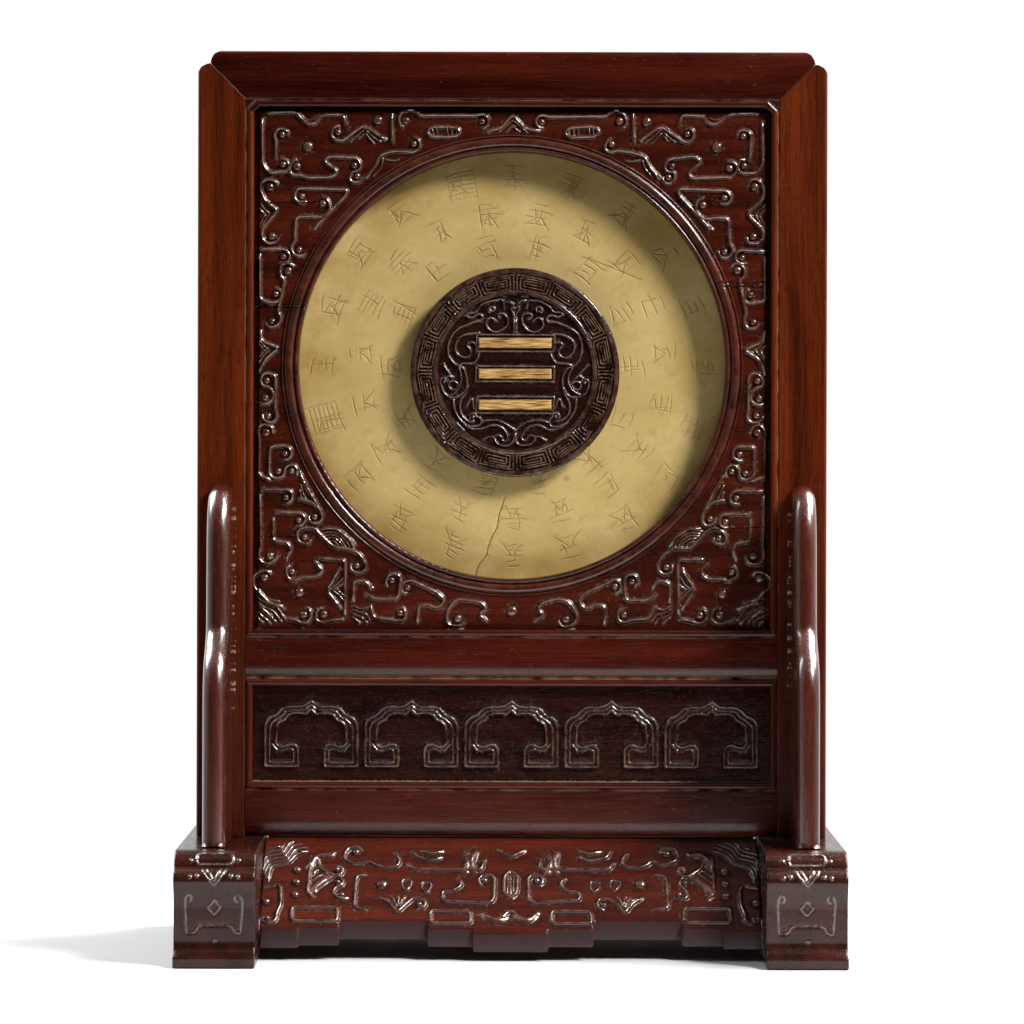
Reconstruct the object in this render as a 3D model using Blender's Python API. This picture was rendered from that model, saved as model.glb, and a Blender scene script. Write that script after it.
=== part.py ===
"""Table screen: a mitred hardwood frame on two shoe feet, with a carved panel around a jade disc.

Metres, +Z up. The screen faces -Y and stands on z = 0, centred on the origin. Relief is
carved as ridges and knobs that rise from a flat ground, so each carved face is one height
field, closed by plain sides and a plain back.
"""

import math

import bmesh
import bpy
from mathutils import Vector
from mathutils.geometry import delaunay_2d_cdt

# Clearance between touching pieces
GAP = 0.0003

# Frame: two stiles, a top rail, a middle rail and a bottom rail
FRAME_WIDTH = 0.2205
FRAME_THICKNESS = 0.020
STILE_WIDTH = 0.0170
TOP_RAIL_HEIGHT = 0.0169
MIDDLE_RAIL_HEIGHT = 0.0147
BOTTOM_RAIL_HEIGHT = 0.0165
UPPER_OPENING_HEIGHT = 0.1882
LOWER_OPENING_HEIGHT = 0.0388
CORNER_NOTCH = 0.0044
EDGE_ROUND_WIDTH = 0.0022
EDGE_ROUND_DEPTH = 0.0024
LIP_HEIGHT = 0.0054
LIP_DEPTH = 0.0026
BACK_CHAMFER = 0.0008
FACE_CROWN = 0.0004
BEAD_WIDTH = 0.0026
BEAD_THICKNESS = 0.0024
BEAD_PROUD = 0.0003

# Carved panel, with its moulded round opening
PANEL_SETBACK = 0.0025
PANEL_THICKNESS = 0.0077
OPENING_RADIUS = 0.0750
OPENING_RISE = 0.0011
RING_WIDTH = 0.0060
RING_RISE = 0.0012
RING_SIDES = 56

# Jade disc in its pocket, and the boss on its face
JADE_RADIUS = 0.0790
JADE_THICKNESS = 0.0050
BACK_BOARD_THICKNESS = 0.0083
BOSS_RADIUS = 0.0367
BOSS_HEIGHT = 0.0057
BOSS_RIGHT = 0.0010
BOSS_DROP = 0.0024
BOSS_SIDES = 48
BOSS_STEP = 0.0005
FRET_KEYS = 16

# Lower panel with its row of cloud heads
LOWER_PANEL_THICKNESS = 0.0120
CLOUD_HEADS = 5
CLOUD_DROP = 0.0006
CLOUD_RISE = 0.0007
CLOUD_SLOPE = 0.0005

# Feet
FOOT_WIDTH = 0.0277
FOOT_OVERHANG = 0.0038
FOOT_HEIGHT = 0.0390
FOOT_REACH = 0.0630
TOE_ROUND = 0.0008
TOE_HEIGHT = 0.0040
FOOT_COVE = 0.0047
FOOT_FACE_TOP = 0.0226
FOOT_NECK = 0.0250
FOOT_ROLL = 0.0037
FOOT_ROLL_Z = 0.0296
FOOT_HEAD = 0.0044
FOOT_HEAD_SETBACK = 0.0030

# Standing brackets that prop the stiles, front and back
BRACKET_THICKNESS = 0.0080
BRACKET_INSET = 0.0048
BRACKET_SETBACK = 0.0152
BRACKET_WAIST = 0.0210
BRACKET_NECK = 0.0030
BRACKET_SHOULDER = 0.0490
BRACKET_LOWER_LOBE = 0.0200
BRACKET_HEIGHT = 0.1235
BRACKET_UPPER_LOBE = 0.0215
BRACKET_HEAD = 0.0080
BRACKET_HEAD_STEP = 0.0010

# Sloping aprons between the feet, front and back
APRON_SETBACK = 0.0210
APRON_EDGE_Z = 0.0094
APRON_THICKNESS = 0.0062
APRON_START = 0.0017

# Carving: the scrolls are drawn on a grid for fields of these sizes, and stretch with the real ones
CARVING_GRID = 0.00035
DRAWN_FIELD_WIDTH = 0.1866
DRAWN_FIELD_HEIGHT = 0.1882
DRAWN_LOWER_HEIGHT = 0.0388
DRAWN_BOSS_RADIUS = 0.0367
DRAWN_APRON_WIDTH = 0.1740
DRAWN_APRON_UNITS = 96.5
CLOUD_PITCH_UNITS = 100.3
FOOT_FACE_UNITS = (28, 14)
RIDGE_HALF_WIDTH = 0.00056
RIDGE_RISE = 0.0006
KNOB_RISE = 0.0008
KNOB_SIDES = 6
FINE_HALF_WIDTH = 0.00038
FINE_RISE = 0.0004

WOOD_COLOUR = (0.070, 0.013, 0.007, 1.0)
JADE_COLOUR = (0.45, 0.39, 0.18, 1.0)

# Places worked out from the sizes above
FRONT = -FRAME_THICKNESS / 2
BACK = FRAME_THICKNESS / 2
HALF_WIDTH = FRAME_WIDTH / 2
HALF_OPENING = HALF_WIDTH - STILE_WIDTH
BOTTOM_RAIL_Z = FOOT_HEIGHT + GAP
LOWER_OPENING_Z = BOTTOM_RAIL_Z + BOTTOM_RAIL_HEIGHT
MIDDLE_RAIL_Z = LOWER_OPENING_Z + LOWER_OPENING_HEIGHT
UPPER_OPENING_Z = MIDDLE_RAIL_Z + MIDDLE_RAIL_HEIGHT
TOP_RAIL_Z = UPPER_OPENING_Z + UPPER_OPENING_HEIGHT
TOTAL_HEIGHT = TOP_RAIL_Z + TOP_RAIL_HEIGHT
PANEL_FRONT = FRONT + PANEL_SETBACK
PANEL_BACK = PANEL_FRONT + PANEL_THICKNESS
JADE_FRONT = PANEL_BACK + GAP
JADE_BACK = JADE_FRONT + JADE_THICKNESS
OPENING_Z = UPPER_OPENING_Z + UPPER_OPENING_HEIGHT / 2 + OPENING_RISE
FOOT_OUTER = HALF_WIDTH + FOOT_OVERHANG
FOOT_INNER = FOOT_OUTER - FOOT_WIDTH
BRACKET_CENTRE = HALF_WIDTH - BRACKET_INSET - BRACKET_THICKNESS / 2
BRACKET_REACH = FOOT_REACH - BRACKET_SETBACK - BACK - GAP
APRON_TOP_Y = BACK - APRON_START
APRON_RUN = FOOT_REACH - APRON_SETBACK - APRON_TOP_Y
APRON_DROP = FOOT_HEIGHT - APRON_EDGE_Z
FIELD_GRID_X = CARVING_GRID * HALF_OPENING * 2 / DRAWN_FIELD_WIDTH


def clear_scene():
    for obj in list(bpy.data.objects):
        bpy.data.objects.remove(obj, do_unlink=True)


def plain_material(name, colour, roughness):
    material = bpy.data.materials.new(name)
    material.use_nodes = True
    shader = material.node_tree.nodes["Principled BSDF"]
    shader.inputs["Base Color"].default_value = colour
    shader.inputs["Roughness"].default_value = roughness
    shader.inputs["Metallic"].default_value = 0.0
    return material


def add_object(name, bm, material):
    """Turns a bmesh into a named object with outward faces."""
    bmesh.ops.recalc_face_normals(bm, faces=bm.faces)
    mesh = bpy.data.meshes.new(name)
    bm.to_mesh(mesh)
    bm.free()
    mesh.materials.append(material)
    obj = bpy.data.objects.new(name, mesh)
    bpy.context.scene.collection.objects.link(obj)
    return obj


def arc(centre_x, centre_y, radius_x, radius_y, start, end, steps):
    """Points along an elliptical arc, with angles in degrees."""
    points = []
    for i in range(steps + 1):
        angle = math.radians(start + (end - start) * i / steps)
        points.append((centre_x + radius_x * math.cos(angle), centre_y + radius_y * math.sin(angle)))
    return points


def prism(bm, outline, place):
    """A prism between place(a, b, 0) and place(a, b, 1) for each point of the outline."""
    low = [bm.verts.new(place(a, b, 0)) for a, b in outline]
    high = [bm.verts.new(place(a, b, 1)) for a, b in outline]
    bm.faces.new(low)
    bm.faces.new(high[::-1])
    for i, corner in enumerate(low):
        j = (i + 1) % len(low)
        bm.faces.new((corner, high[i], high[j], low[j]))


def cut_flat(bm, point, normal):
    """Cuts away what lies on the normal's side of a plane, and closes the cut."""
    everything = bm.verts[:] + bm.edges[:] + bm.faces[:]
    cut = bmesh.ops.bisect_plane(
        bm, geom=everything, plane_co=point, plane_no=normal, clear_outer=True, dist=1e-7
    )["geom_cut"]
    edges = [part for part in cut if isinstance(part, bmesh.types.BMEdge)]
    if edges:
        bmesh.ops.edgeloop_fill(bm, edges=edges)


def union(obj, other):
    """Joins another closed object to this one and removes the other."""
    modifier = obj.modifiers.new("join", "BOOLEAN")
    modifier.operation = "UNION"
    modifier.solver = "EXACT"
    modifier.object = other
    graph = bpy.context.evaluated_depsgraph_get()
    mesh = bpy.data.meshes.new_from_object(obj.evaluated_get(graph))
    obj.modifiers.clear()
    obj.data = mesh
    bpy.data.objects.remove(other, do_unlink=True)


class Relief:
    """A flat sheet of carving: ridges and knobs with sloping sides on a level ground."""

    def __init__(self):
        self.points = []
        self.edges = []
        self.ridges = []
        self.knobs = []
        self.levels = []

    def chain(self, points, closed=False):
        first = len(self.points)
        self.points.extend(Vector(point) for point in points)
        last = len(self.points) - 1
        self.edges.extend((i, i + 1) for i in range(first, last))
        if closed:
            self.edges.append((last, first))
        return list(range(first, last + 1))

    def ridge(self, points, half_width, rise, closed=False):
        """A ridge with a sharp crest: its crest line and the two lines of its feet."""
        path = [Vector(point) for point in points]
        sides = ([], [])
        for i, point in enumerate(path):
            before = path[i - 1] if closed or i else point * 2 - path[i + 1]
            after = path[(i + 1) % len(path)] if closed or i < len(path) - 1 else point * 2 - before
            arriving = (point - before).normalized()
            ahead = (after - point).normalized() + arriving
            normal = Vector((-ahead.y, ahead.x)).normalized()
            cosine = max(0.5, abs(normal.dot(Vector((-arriving.y, arriving.x)))))
            sides[0].append(point + normal * half_width / cosine)
            sides[1].append(point - normal * half_width / cosine)
        if closed:
            self.chain(path, True)
            self.chain(sides[0], True)
            self.chain(sides[1], True)
            path = path + path[:1]
        else:
            start = path[0] + (path[0] - path[1]).normalized() * half_width
            end = path[-1] + (path[-1] - path[-2]).normalized() * half_width
            self.chain(path)
            self.chain([start, *sides[0], end, *reversed(sides[1])], True)
        self.ridges.append((path, half_width, rise))

    def knob(self, centre, radius, rise):
        self.points.append(Vector(centre))
        self.chain(arc(centre[0], centre[1], radius, radius, 0, 300, KNOB_SIDES - 1), True)
        self.knobs.append((Vector(centre), radius * math.cos(math.pi / KNOB_SIDES), rise))

    def height(self, point):
        """How far the surface stands above the ground at a point of the sheet."""
        highest = 0.0
        for centre, radius, rise in self.knobs:
            highest = max(highest, rise * (1 - (point - centre).length / radius))
        for path, half_width, rise in self.ridges:
            for start, end in zip(path, path[1:]):
                along = end - start
                share = (point - start).dot(along) / max(along.length_squared, 1e-12)
                distance = (point - start - along * min(1.0, max(0.0, share))).length
                highest = max(highest, rise * (1 - distance / half_width))
        return highest + sum(level(point) for level in self.levels)

    def triangles(self, keep):
        """Corner points, triangles that keep() accepts, and where each given point ended up."""
        corners, _, faces, sources, _, _ = delaunay_2d_cdt(self.points, self.edges, [], 0, 1e-7)
        ended = {}
        for i, given in enumerate(sources):
            for j in given:
                ended[j] = i
        kept = [face for face in faces if keep(sum((corners[i] for i in face), Vector((0, 0))) / len(face))]
        return corners, kept, ended


def relief_plate(bm, relief, border, holes, place_front, place_back):
    """Closes a sheet of relief into a solid: carved front, plain back, and walls at its borders."""
    outline = [relief.points[i] for i in border]
    gaps = [[relief.points[i] for i in hole] for hole in holes]

    def keep(point):
        return inside(outline, point) and not any(inside(gap, point) for gap in gaps)

    corners, faces, ended = relief.triangles(keep)
    front = {}
    for i in sorted({i for face in faces for i in face}):
        front[i] = bm.verts.new(place_front(corners[i], relief.height(corners[i])))
    for face in faces:
        bm.faces.new([front[i] for i in face])
    plain = Relief()
    loops = [border, *holes]
    for loop in loops:
        plain.chain([relief.points[i] for i in loop], True)
    corners, faces, plain_ended = plain.triangles(keep)
    back = {i: bm.verts.new(place_back(corner)) for i, corner in enumerate(corners)}
    for face in faces:
        bm.faces.new([back[i] for i in reversed(face)])
    place = 0
    for loop in loops:
        for i, start in enumerate(loop):
            j = (i + 1) % len(loop)
            lower = (back[plain_ended[place + i]], back[plain_ended[place + j]])
            bm.faces.new((front[ended[start]], front[ended[loop[j]]], lower[1], lower[0]))
        place += len(loop)


def inside(outline, point):
    """Whether a point lies inside a closed outline."""
    crossings = 0
    for a, b in zip(outline, outline[1:] + outline[:1]):
        if (a.y > point.y) != (b.y > point.y):
            crossings += point.x < a.x + (point.y - a.y) / (b.y - a.y) * (b.x - a.x)
    return crossings % 2 == 1


def mirrored(points):
    return [(-x, z) for x, z in points]


def member_section(width, lip):
    """Section of a frame member: from its opening's edge outwards, and front to back."""
    front = [(0.0, FRONT + FACE_CROWN), (FACE_CROWN, FRONT + FACE_CROWN / 4), (width * 0.45, FRONT)]
    if lip:
        front += arc(width - LIP_HEIGHT, FRONT + LIP_DEPTH, LIP_HEIGHT, LIP_DEPTH, -90, 0, 4)
    else:
        front += arc(
            width - EDGE_ROUND_WIDTH, FRONT + EDGE_ROUND_DEPTH, EDGE_ROUND_WIDTH, EDGE_ROUND_DEPTH, -90, 0, 3
        )
    back_edge = [(width, BACK - BACK_CHAMFER), (width - BACK_CHAMFER, BACK)]
    return front + back_edge + [(BACK_CHAMFER, BACK), (0.0, BACK - BACK_CHAMFER)]


def bead_section():
    """Half-round bead on the edge of an opening, with its root let into the member."""
    top = FRONT - BEAD_PROUD
    root = FRONT + BEAD_THICKNESS
    round_part = arc(BEAD_WIDTH / 2, top + BEAD_WIDTH / 2, BEAD_WIDTH / 2, BEAD_WIDTH / 2, 180, 360, 4)
    return round_part + [(BEAD_WIDTH + GAP, top + BEAD_WIDTH / 2), (BEAD_WIDTH + GAP, root), (0.0, root)]


def add_bead(obj, place, cuts, material):
    bm = bmesh.new()
    prism(bm, bead_section(), place)
    for point, normal in cuts:
        cut_flat(bm, point, normal)
    union(obj, add_object("bead", bm, material))


def stile(side, wood):
    """One upright of the frame. Its top end is mitred and has one lobe of the notched corner."""
    name = "stile_left" if side < 0 else "stile_right"
    bm = bmesh.new()
    heights = (FOOT_HEIGHT + GAP, TOTAL_HEIGHT)
    prism(
        bm,
        member_section(STILE_WIDTH, False),
        lambda a, b, end: (side * (HALF_OPENING + a), b, heights[end]),
    )
    mitre = Vector((-side * TOP_RAIL_HEIGHT, 0, STILE_WIDTH)).normalized()
    cut_flat(bm, Vector((side * HALF_OPENING, 0, TOP_RAIL_Z)) - mitre * GAP / 2, mitre)
    cusp_z = TOTAL_HEIGHT - CORNER_NOTCH
    lobe = arc(HALF_WIDTH - CORNER_NOTCH, cusp_z - CORNER_NOTCH, CORNER_NOTCH, CORNER_NOTCH, 0, 90, 4)
    for (x0, z0), (x1, z1) in zip(lobe, lobe[1:]):
        cut_flat(bm, Vector((side * x0, 0, z0)), Vector((side * (z1 - z0), 0, x0 - x1)))
    obj = add_object(name, bm, wood)
    inner = HALF_OPENING - BEAD_WIDTH
    for low, height in ((LOWER_OPENING_Z, LOWER_OPENING_HEIGHT), (UPPER_OPENING_Z, UPPER_OPENING_HEIGHT)):
        high = low + height
        add_bead(
            obj,
            lambda a, b, end, ends=(low, high): (side * (inner + a), b, ends[end]),
            [
                (Vector((side * HALF_OPENING, 0, low + GAP)), Vector((-side, 0, -1))),
                (Vector((side * HALF_OPENING, 0, high - GAP)), Vector((-side, 0, 1))),
            ],
            wood,
        )
    return obj


def rail(name, edge_z, up, height, lip, beads, mitred, wood):
    """A cross member. Its section starts at edge_z and grows upwards or downwards."""
    bm = bmesh.new()
    length = HALF_WIDTH if mitred else HALF_OPENING - GAP
    prism(
        bm,
        member_section(height, lip),
        lambda a, b, end: ((2 * end - 1) * length, b, edge_z + up * a),
    )
    if mitred:
        for side in (-1, 1):
            mitre = Vector((side * TOP_RAIL_HEIGHT, 0, -STILE_WIDTH)).normalized()
            cut_flat(bm, Vector((side * HALF_OPENING, 0, TOP_RAIL_Z)) - mitre * GAP / 2, mitre)
            notch = CORNER_NOTCH
            lobe = arc(HALF_WIDTH - 2 * notch, TOTAL_HEIGHT - notch, notch, notch, 0, 90, 4)
            for (x0, z0), (x1, z1) in zip(lobe, lobe[1:]):
                cut_flat(bm, Vector((side * x0, 0, z0)), Vector((side * (z1 - z0), 0, x0 - x1)))
    obj = add_object(name, bm, wood)
    for opening_edge, outward in beads:
        add_bead(
            obj,
            lambda a, b, end, edge=opening_edge, out=outward: (
                (2 * end - 1) * HALF_OPENING, b, edge - out * (BEAD_WIDTH - a)
            ),
            [
                (Vector((side * (HALF_OPENING - GAP), 0, opening_edge)), Vector((side, 0, -outward)))
                for side in (-1, 1)
            ],
            wood,
        )
    return obj


def ring_levels(radius):
    """The turned moulding around the opening: a fine ridge, a broad round band and a bead."""
    steps = [
        (0.0, 0.10), (0.13, 0.70), (0.27, 0.15), (0.53, 1.00), (0.84, 0.20), (0.93, 0.50), (1.0, 0.0)
    ]
    return [(radius + RING_WIDTH * share, RING_RISE * rise) for share, rise in steps]


class Scrolls:
    """Scroll carving on a grid, drawn on the right and mirrored on the left."""

    def __init__(self, relief, unit_x, unit_z, half_width, rise, knob_rise, clear_of):
        self.relief = relief
        self.unit = (unit_x, unit_z)
        self.half_width = half_width
        self.rise = rise
        self.knob_rise = knob_rise
        self.clear_of = clear_of

    def at(self, point):
        return (point[0] * self.unit[0], point[1] * self.unit[1])

    def fits(self, points):
        return all(self.clear_of(x, z) for x, z in points)

    def line(self, *points, closed=False):
        path = [self.at(point) for point in points]
        if self.fits(path):
            for copy in (path, mirrored(path)):
                self.relief.ridge(copy, self.half_width, self.rise, closed)

    def centre_line(self, *points):
        """A line drawn from its outer end to the middle, and on to the other side."""
        path = [self.at(point) for point in points]
        if self.fits(path):
            other = mirrored(path[:-1] if points[-1][0] == 0 else path)
            self.relief.ridge(path + other[::-1], self.half_width, self.rise)

    def knob(self, x, z, radius=5.0):
        centre = self.at((x, z))
        if self.fits([centre]):
            copies = {centre, (-centre[0], centre[1])}
            for copy in sorted(copies):
                self.relief.knob(copy, radius * self.unit[0], self.knob_rise)


def carve_upper_corner(carve):
    """The angular scrolls of the panel's top corners and of the strip above the ring."""
    carve.line((251, 245), (251, 201), (243, 192), (234, 194))
    carve.knob(231, 201)
    carve.line((246, 253), (217, 253), (209, 245), (201, 241), (194, 246))
    carve.line((192, 251), (169, 251), (167, 241))
    carve.knob(175, 233)
    carve.knob(231, 230)
    carve.line((238, 224), (238, 206))
    carve.knob(205, 219, 5.5)
    carve.line((171, 225), (149, 240), (128, 226))
    carve.knob(135, 245)
    carve.line((121, 252), (121, 224))
    carve.knob(107, 245, 6)
    carve.knob(217, 198, 6)
    carve.line((213, 190), (205, 188), (181, 188), (175, 193), (190, 205), (183, 210), (161, 208))
    carve.knob(159, 200)
    carve.knob(156, 189)
    carve.line((147, 188), (137, 199), (133, 210), (120, 214), (106, 215))
    carve.knob(99, 222)
    carve.line((87, 234), (82, 239), (57, 239), (52, 234), (57, 229), (82, 229), closed=True)
    carve.line((93, 250), (35, 250))
    carve.knob(30, 244)
    carve.centre_line((26, 235), (11, 238), (0, 252))


def carve_sides(carve):
    """The column of scrolls beside the ring, from the top corner to below its middle."""
    carve.knob(243, 179, 6)
    carve.line((251, 172), (249, 165), (235, 154), (249, 139))
    carve.knob(241, 129, 5.5)
    carve.knob(212, 169)
    carve.line((213, 177), (166, 177), (167, 171), (199, 137))
    carve.knob(191, 161, 5.5)
    carve.line((201, 149), (217, 148), (218, 123))
    carve.knob(213, 115)
    carve.line((253, 116), (231, 116))
    carve.knob(230, 108)
    carve.line((253, 110), (253, 65), (244, 64))
    carve.knob(238, 71)
    carve.knob(225, 95, 6)
    carve.line((228, 86), (235, 53))
    carve.knob(241, 44)
    carve.line((253, 34), (251, 24), (233, 17), (247, 7), (254, -7))
    carve.knob(246, -15)
    carve.line((237, -12), (237, -44))
    carve.knob(248, -33, 5.5)
    carve.knob(245, -51)


def carve_lower_corner(carve):
    """The denser scrolls, cloud and fans of the panel's bottom corners."""
    carve.knob(246, -67, 6)
    carve.line((254, -72), (254, -111), (242, -115))
    carve.knob(234, -107)
    carve.line((243, -103), (243, -81), (229, -81))
    carve.knob(228, -89)
    carve.knob(221, -106)
    carve.line((213, -109), (201, -129), (191, -148))
    carve.line((213, -134), (201, -137), (194, -144))
    carve.knob(198, -153)
    carve.line((251, -125), (229, -125))
    carve.knob(226, -133)
    carve.line((252, -131), (252, -183))
    carve.knob(242, -191, 6)
    carve.line((237, -148), (217, -148))
    carve.knob(214, -156)
    carve.line((239, -154), (239, -176), (225, -177), (220, -185), (226, -194))
    carve.knob(208, -173)
    carve.line((213, -166), (205, -162), (197, -164), (179, -183), (164, -183), (152, -189), (146, -199))
    carve.knob(155, -202)
    carve.line((189, -163), (176, -164), (164, -173), (158, -180))
    carve.line((192, -194), (167, -194), (167, -248))
    carve.line((197, -198), (189, -206), (195, -213), (212, -213))
    carve.knob(220, -207)
    carve.line((171, -203), (185, -225), (171, -243))
    carve.knob(212, -229)
    carve.knob(248, -213, 6)
    carve.line((253, -228), (243, -238), (229, -242))
    carve.line((253, -242), (241, -252))
    carve.knob(208, -250, 6)
    carve.line((225, -254), (215, -256))
    carve.knob(189, -250, 6)
    carve.line((182, -256), (169, -254))


def carve_foot_strip(carve):
    """The scrolls below the ring, out to each side of the button in the middle."""
    carve.line((159, -236), (159, -217), (147, -215), (141, -223))
    carve.line((144, -230), (136, -235), (114, -234), (112, -214))
    carve.knob(120, -216)
    carve.line((142, -241), (138, -253), (119, -255))
    carve.knob(112, -249)
    carve.knob(104, -222)
    carve.line((98, -217), (75, -227), (67, -234), (70, -241), (77, -243), (83, -239), (94, -241), (94, -257))
    carve.knob(54, -254, 6)
    carve.line((61, -241), (55, -235), (46, -234), (31, -237), (25, -244), (33, -250), (25, -255))
    carve.knob(0, -246, 5.5)


def carved_panel(wood):
    relief = Relief()
    half_x = HALF_OPENING - GAP
    low = UPPER_OPENING_Z - OPENING_Z + GAP
    high = UPPER_OPENING_Z + UPPER_OPENING_HEIGHT - OPENING_Z - GAP
    border = relief.chain([(-half_x, low), (half_x, low), (half_x, high), (-half_x, high)], True)
    rings = ring_levels(OPENING_RADIUS)
    turn = 360 / RING_SIDES
    loops = [relief.chain(arc(0, 0, r, r, 0, 360 - turn, RING_SIDES - 1), True) for r, _ in rings]

    def ring_height(point):
        for (r0, h0), (r1, h1) in zip(rings, rings[1:]):
            if r0 - 1e-6 <= point.length <= r1:
                return h0 + (h1 - h0) * (point.length - r0) / (r1 - r0)
        return 0.0

    relief.levels.append(ring_height)
    clear_radius = rings[-1][0] + RIDGE_HALF_WIDTH * 1.5
    margin = BEAD_WIDTH + RIDGE_HALF_WIDTH

    def clear_of(x, z):
        beside = abs(x) < half_x - margin and low + margin < z < high - margin
        return beside and math.hypot(x, z) > clear_radius

    grid_z = CARVING_GRID * UPPER_OPENING_HEIGHT / DRAWN_FIELD_HEIGHT
    carve = Scrolls(relief, FIELD_GRID_X, grid_z, RIDGE_HALF_WIDTH, RIDGE_RISE, KNOB_RISE, clear_of)
    carve_upper_corner(carve)
    carve_sides(carve)
    carve_lower_corner(carve)
    carve_foot_strip(carve)
    bm = bmesh.new()
    relief_plate(
        bm,
        relief,
        border,
        [loops[0]],
        lambda p, h: (p.x, PANEL_FRONT - h, OPENING_Z + p.y),
        lambda p: (p.x, PANEL_BACK, OPENING_Z + p.y),
    )
    return add_object("carved_panel", bm, wood)


def cloud_outline():
    """Half of a cloud head, from its peak down the outer edge and back along the inner edge."""
    outer = [(0, 32), (14, 28), (28, 27), (37, 21), (45, 15), (45, -32)]
    hook = [(13, -32), (13, -16), (17, -10), (26, -13), (34, -10)]
    inner = [(34, 9), (27, 12), (19, 20), (7, 21), (0, 24)]
    return outer + hook + inner


def lower_panel(wood):
    relief = Relief()
    half_x = HALF_OPENING - GAP
    half_z = LOWER_OPENING_HEIGHT / 2 - GAP
    centre_z = LOWER_OPENING_Z + LOWER_OPENING_HEIGHT / 2
    border = relief.chain([(-half_x, -half_z), (half_x, -half_z), (half_x, half_z), (-half_x, half_z)], True)
    clouds = []
    grid_z = CARVING_GRID * LOWER_OPENING_HEIGHT / DRAWN_LOWER_HEIGHT
    pitch = CLOUD_PITCH_UNITS * FIELD_GRID_X
    for i in range(CLOUD_HEADS):
        x = (i - (CLOUD_HEADS - 1) / 2) * pitch
        right = [Vector((x + a * FIELD_GRID_X, b * grid_z - CLOUD_DROP)) for a, b in cloud_outline()]
        left = [Vector((2 * x - p.x, p.y)) for p in right[1:-1]]
        foot = right + left[::-1]
        relief.chain(foot, True)
        relief.chain(shrunk(foot, CLOUD_SLOPE), True)
        clouds.append(foot)

    def cloud_height(point):
        for foot in clouds:
            if abs(point.x - foot[0].x) < pitch / 2 and inside(foot, point):
                return CLOUD_RISE * min(1.0, edge_distance(foot, point) / CLOUD_SLOPE)
        return 0.0

    relief.levels.append(cloud_height)
    bm = bmesh.new()
    relief_plate(
        bm,
        relief,
        border,
        [],
        lambda p, h: (p.x, PANEL_FRONT - h, centre_z + p.y),
        lambda p: (p.x, PANEL_FRONT + LOWER_PANEL_THICKNESS, centre_z + p.y),
    )
    return add_object("lower_panel", bm, wood)


def edge_distance(outline, point):
    nearest = math.inf
    for start, end in zip(outline, outline[1:] + outline[:1]):
        along = end - start
        share = min(1.0, max(0.0, (point - start).dot(along) / max(along.length_squared, 1e-12)))
        nearest = min(nearest, (point - start - along * share).length)
    return nearest


def shrunk(outline, distance):
    """The outline moved inwards all round, with mitred corners."""
    area = sum(a.x * b.y - b.x * a.y for a, b in zip(outline, outline[1:] + outline[:1]))
    turn = 1 if area > 0 else -1
    points = []
    for i, point in enumerate(outline):
        before = (point - outline[i - 1]).normalized()
        after = (outline[(i + 1) % len(outline)] - point).normalized()
        normal = Vector((-(before + after).y, (before + after).x)).normalized() * turn
        cosine = max(0.5, normal.dot(Vector((-before.y, before.x)) * turn))
        points.append(point + normal * distance / cosine)
    return points


def fret_key():
    """One squared spiral of the key fret, as shares of its width and height."""
    return [(0.10, 0.05), (0.10, 0.95), (0.90, 0.95), (0.90, 0.25), (0.40, 0.25), (0.40, 0.66)]


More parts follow.
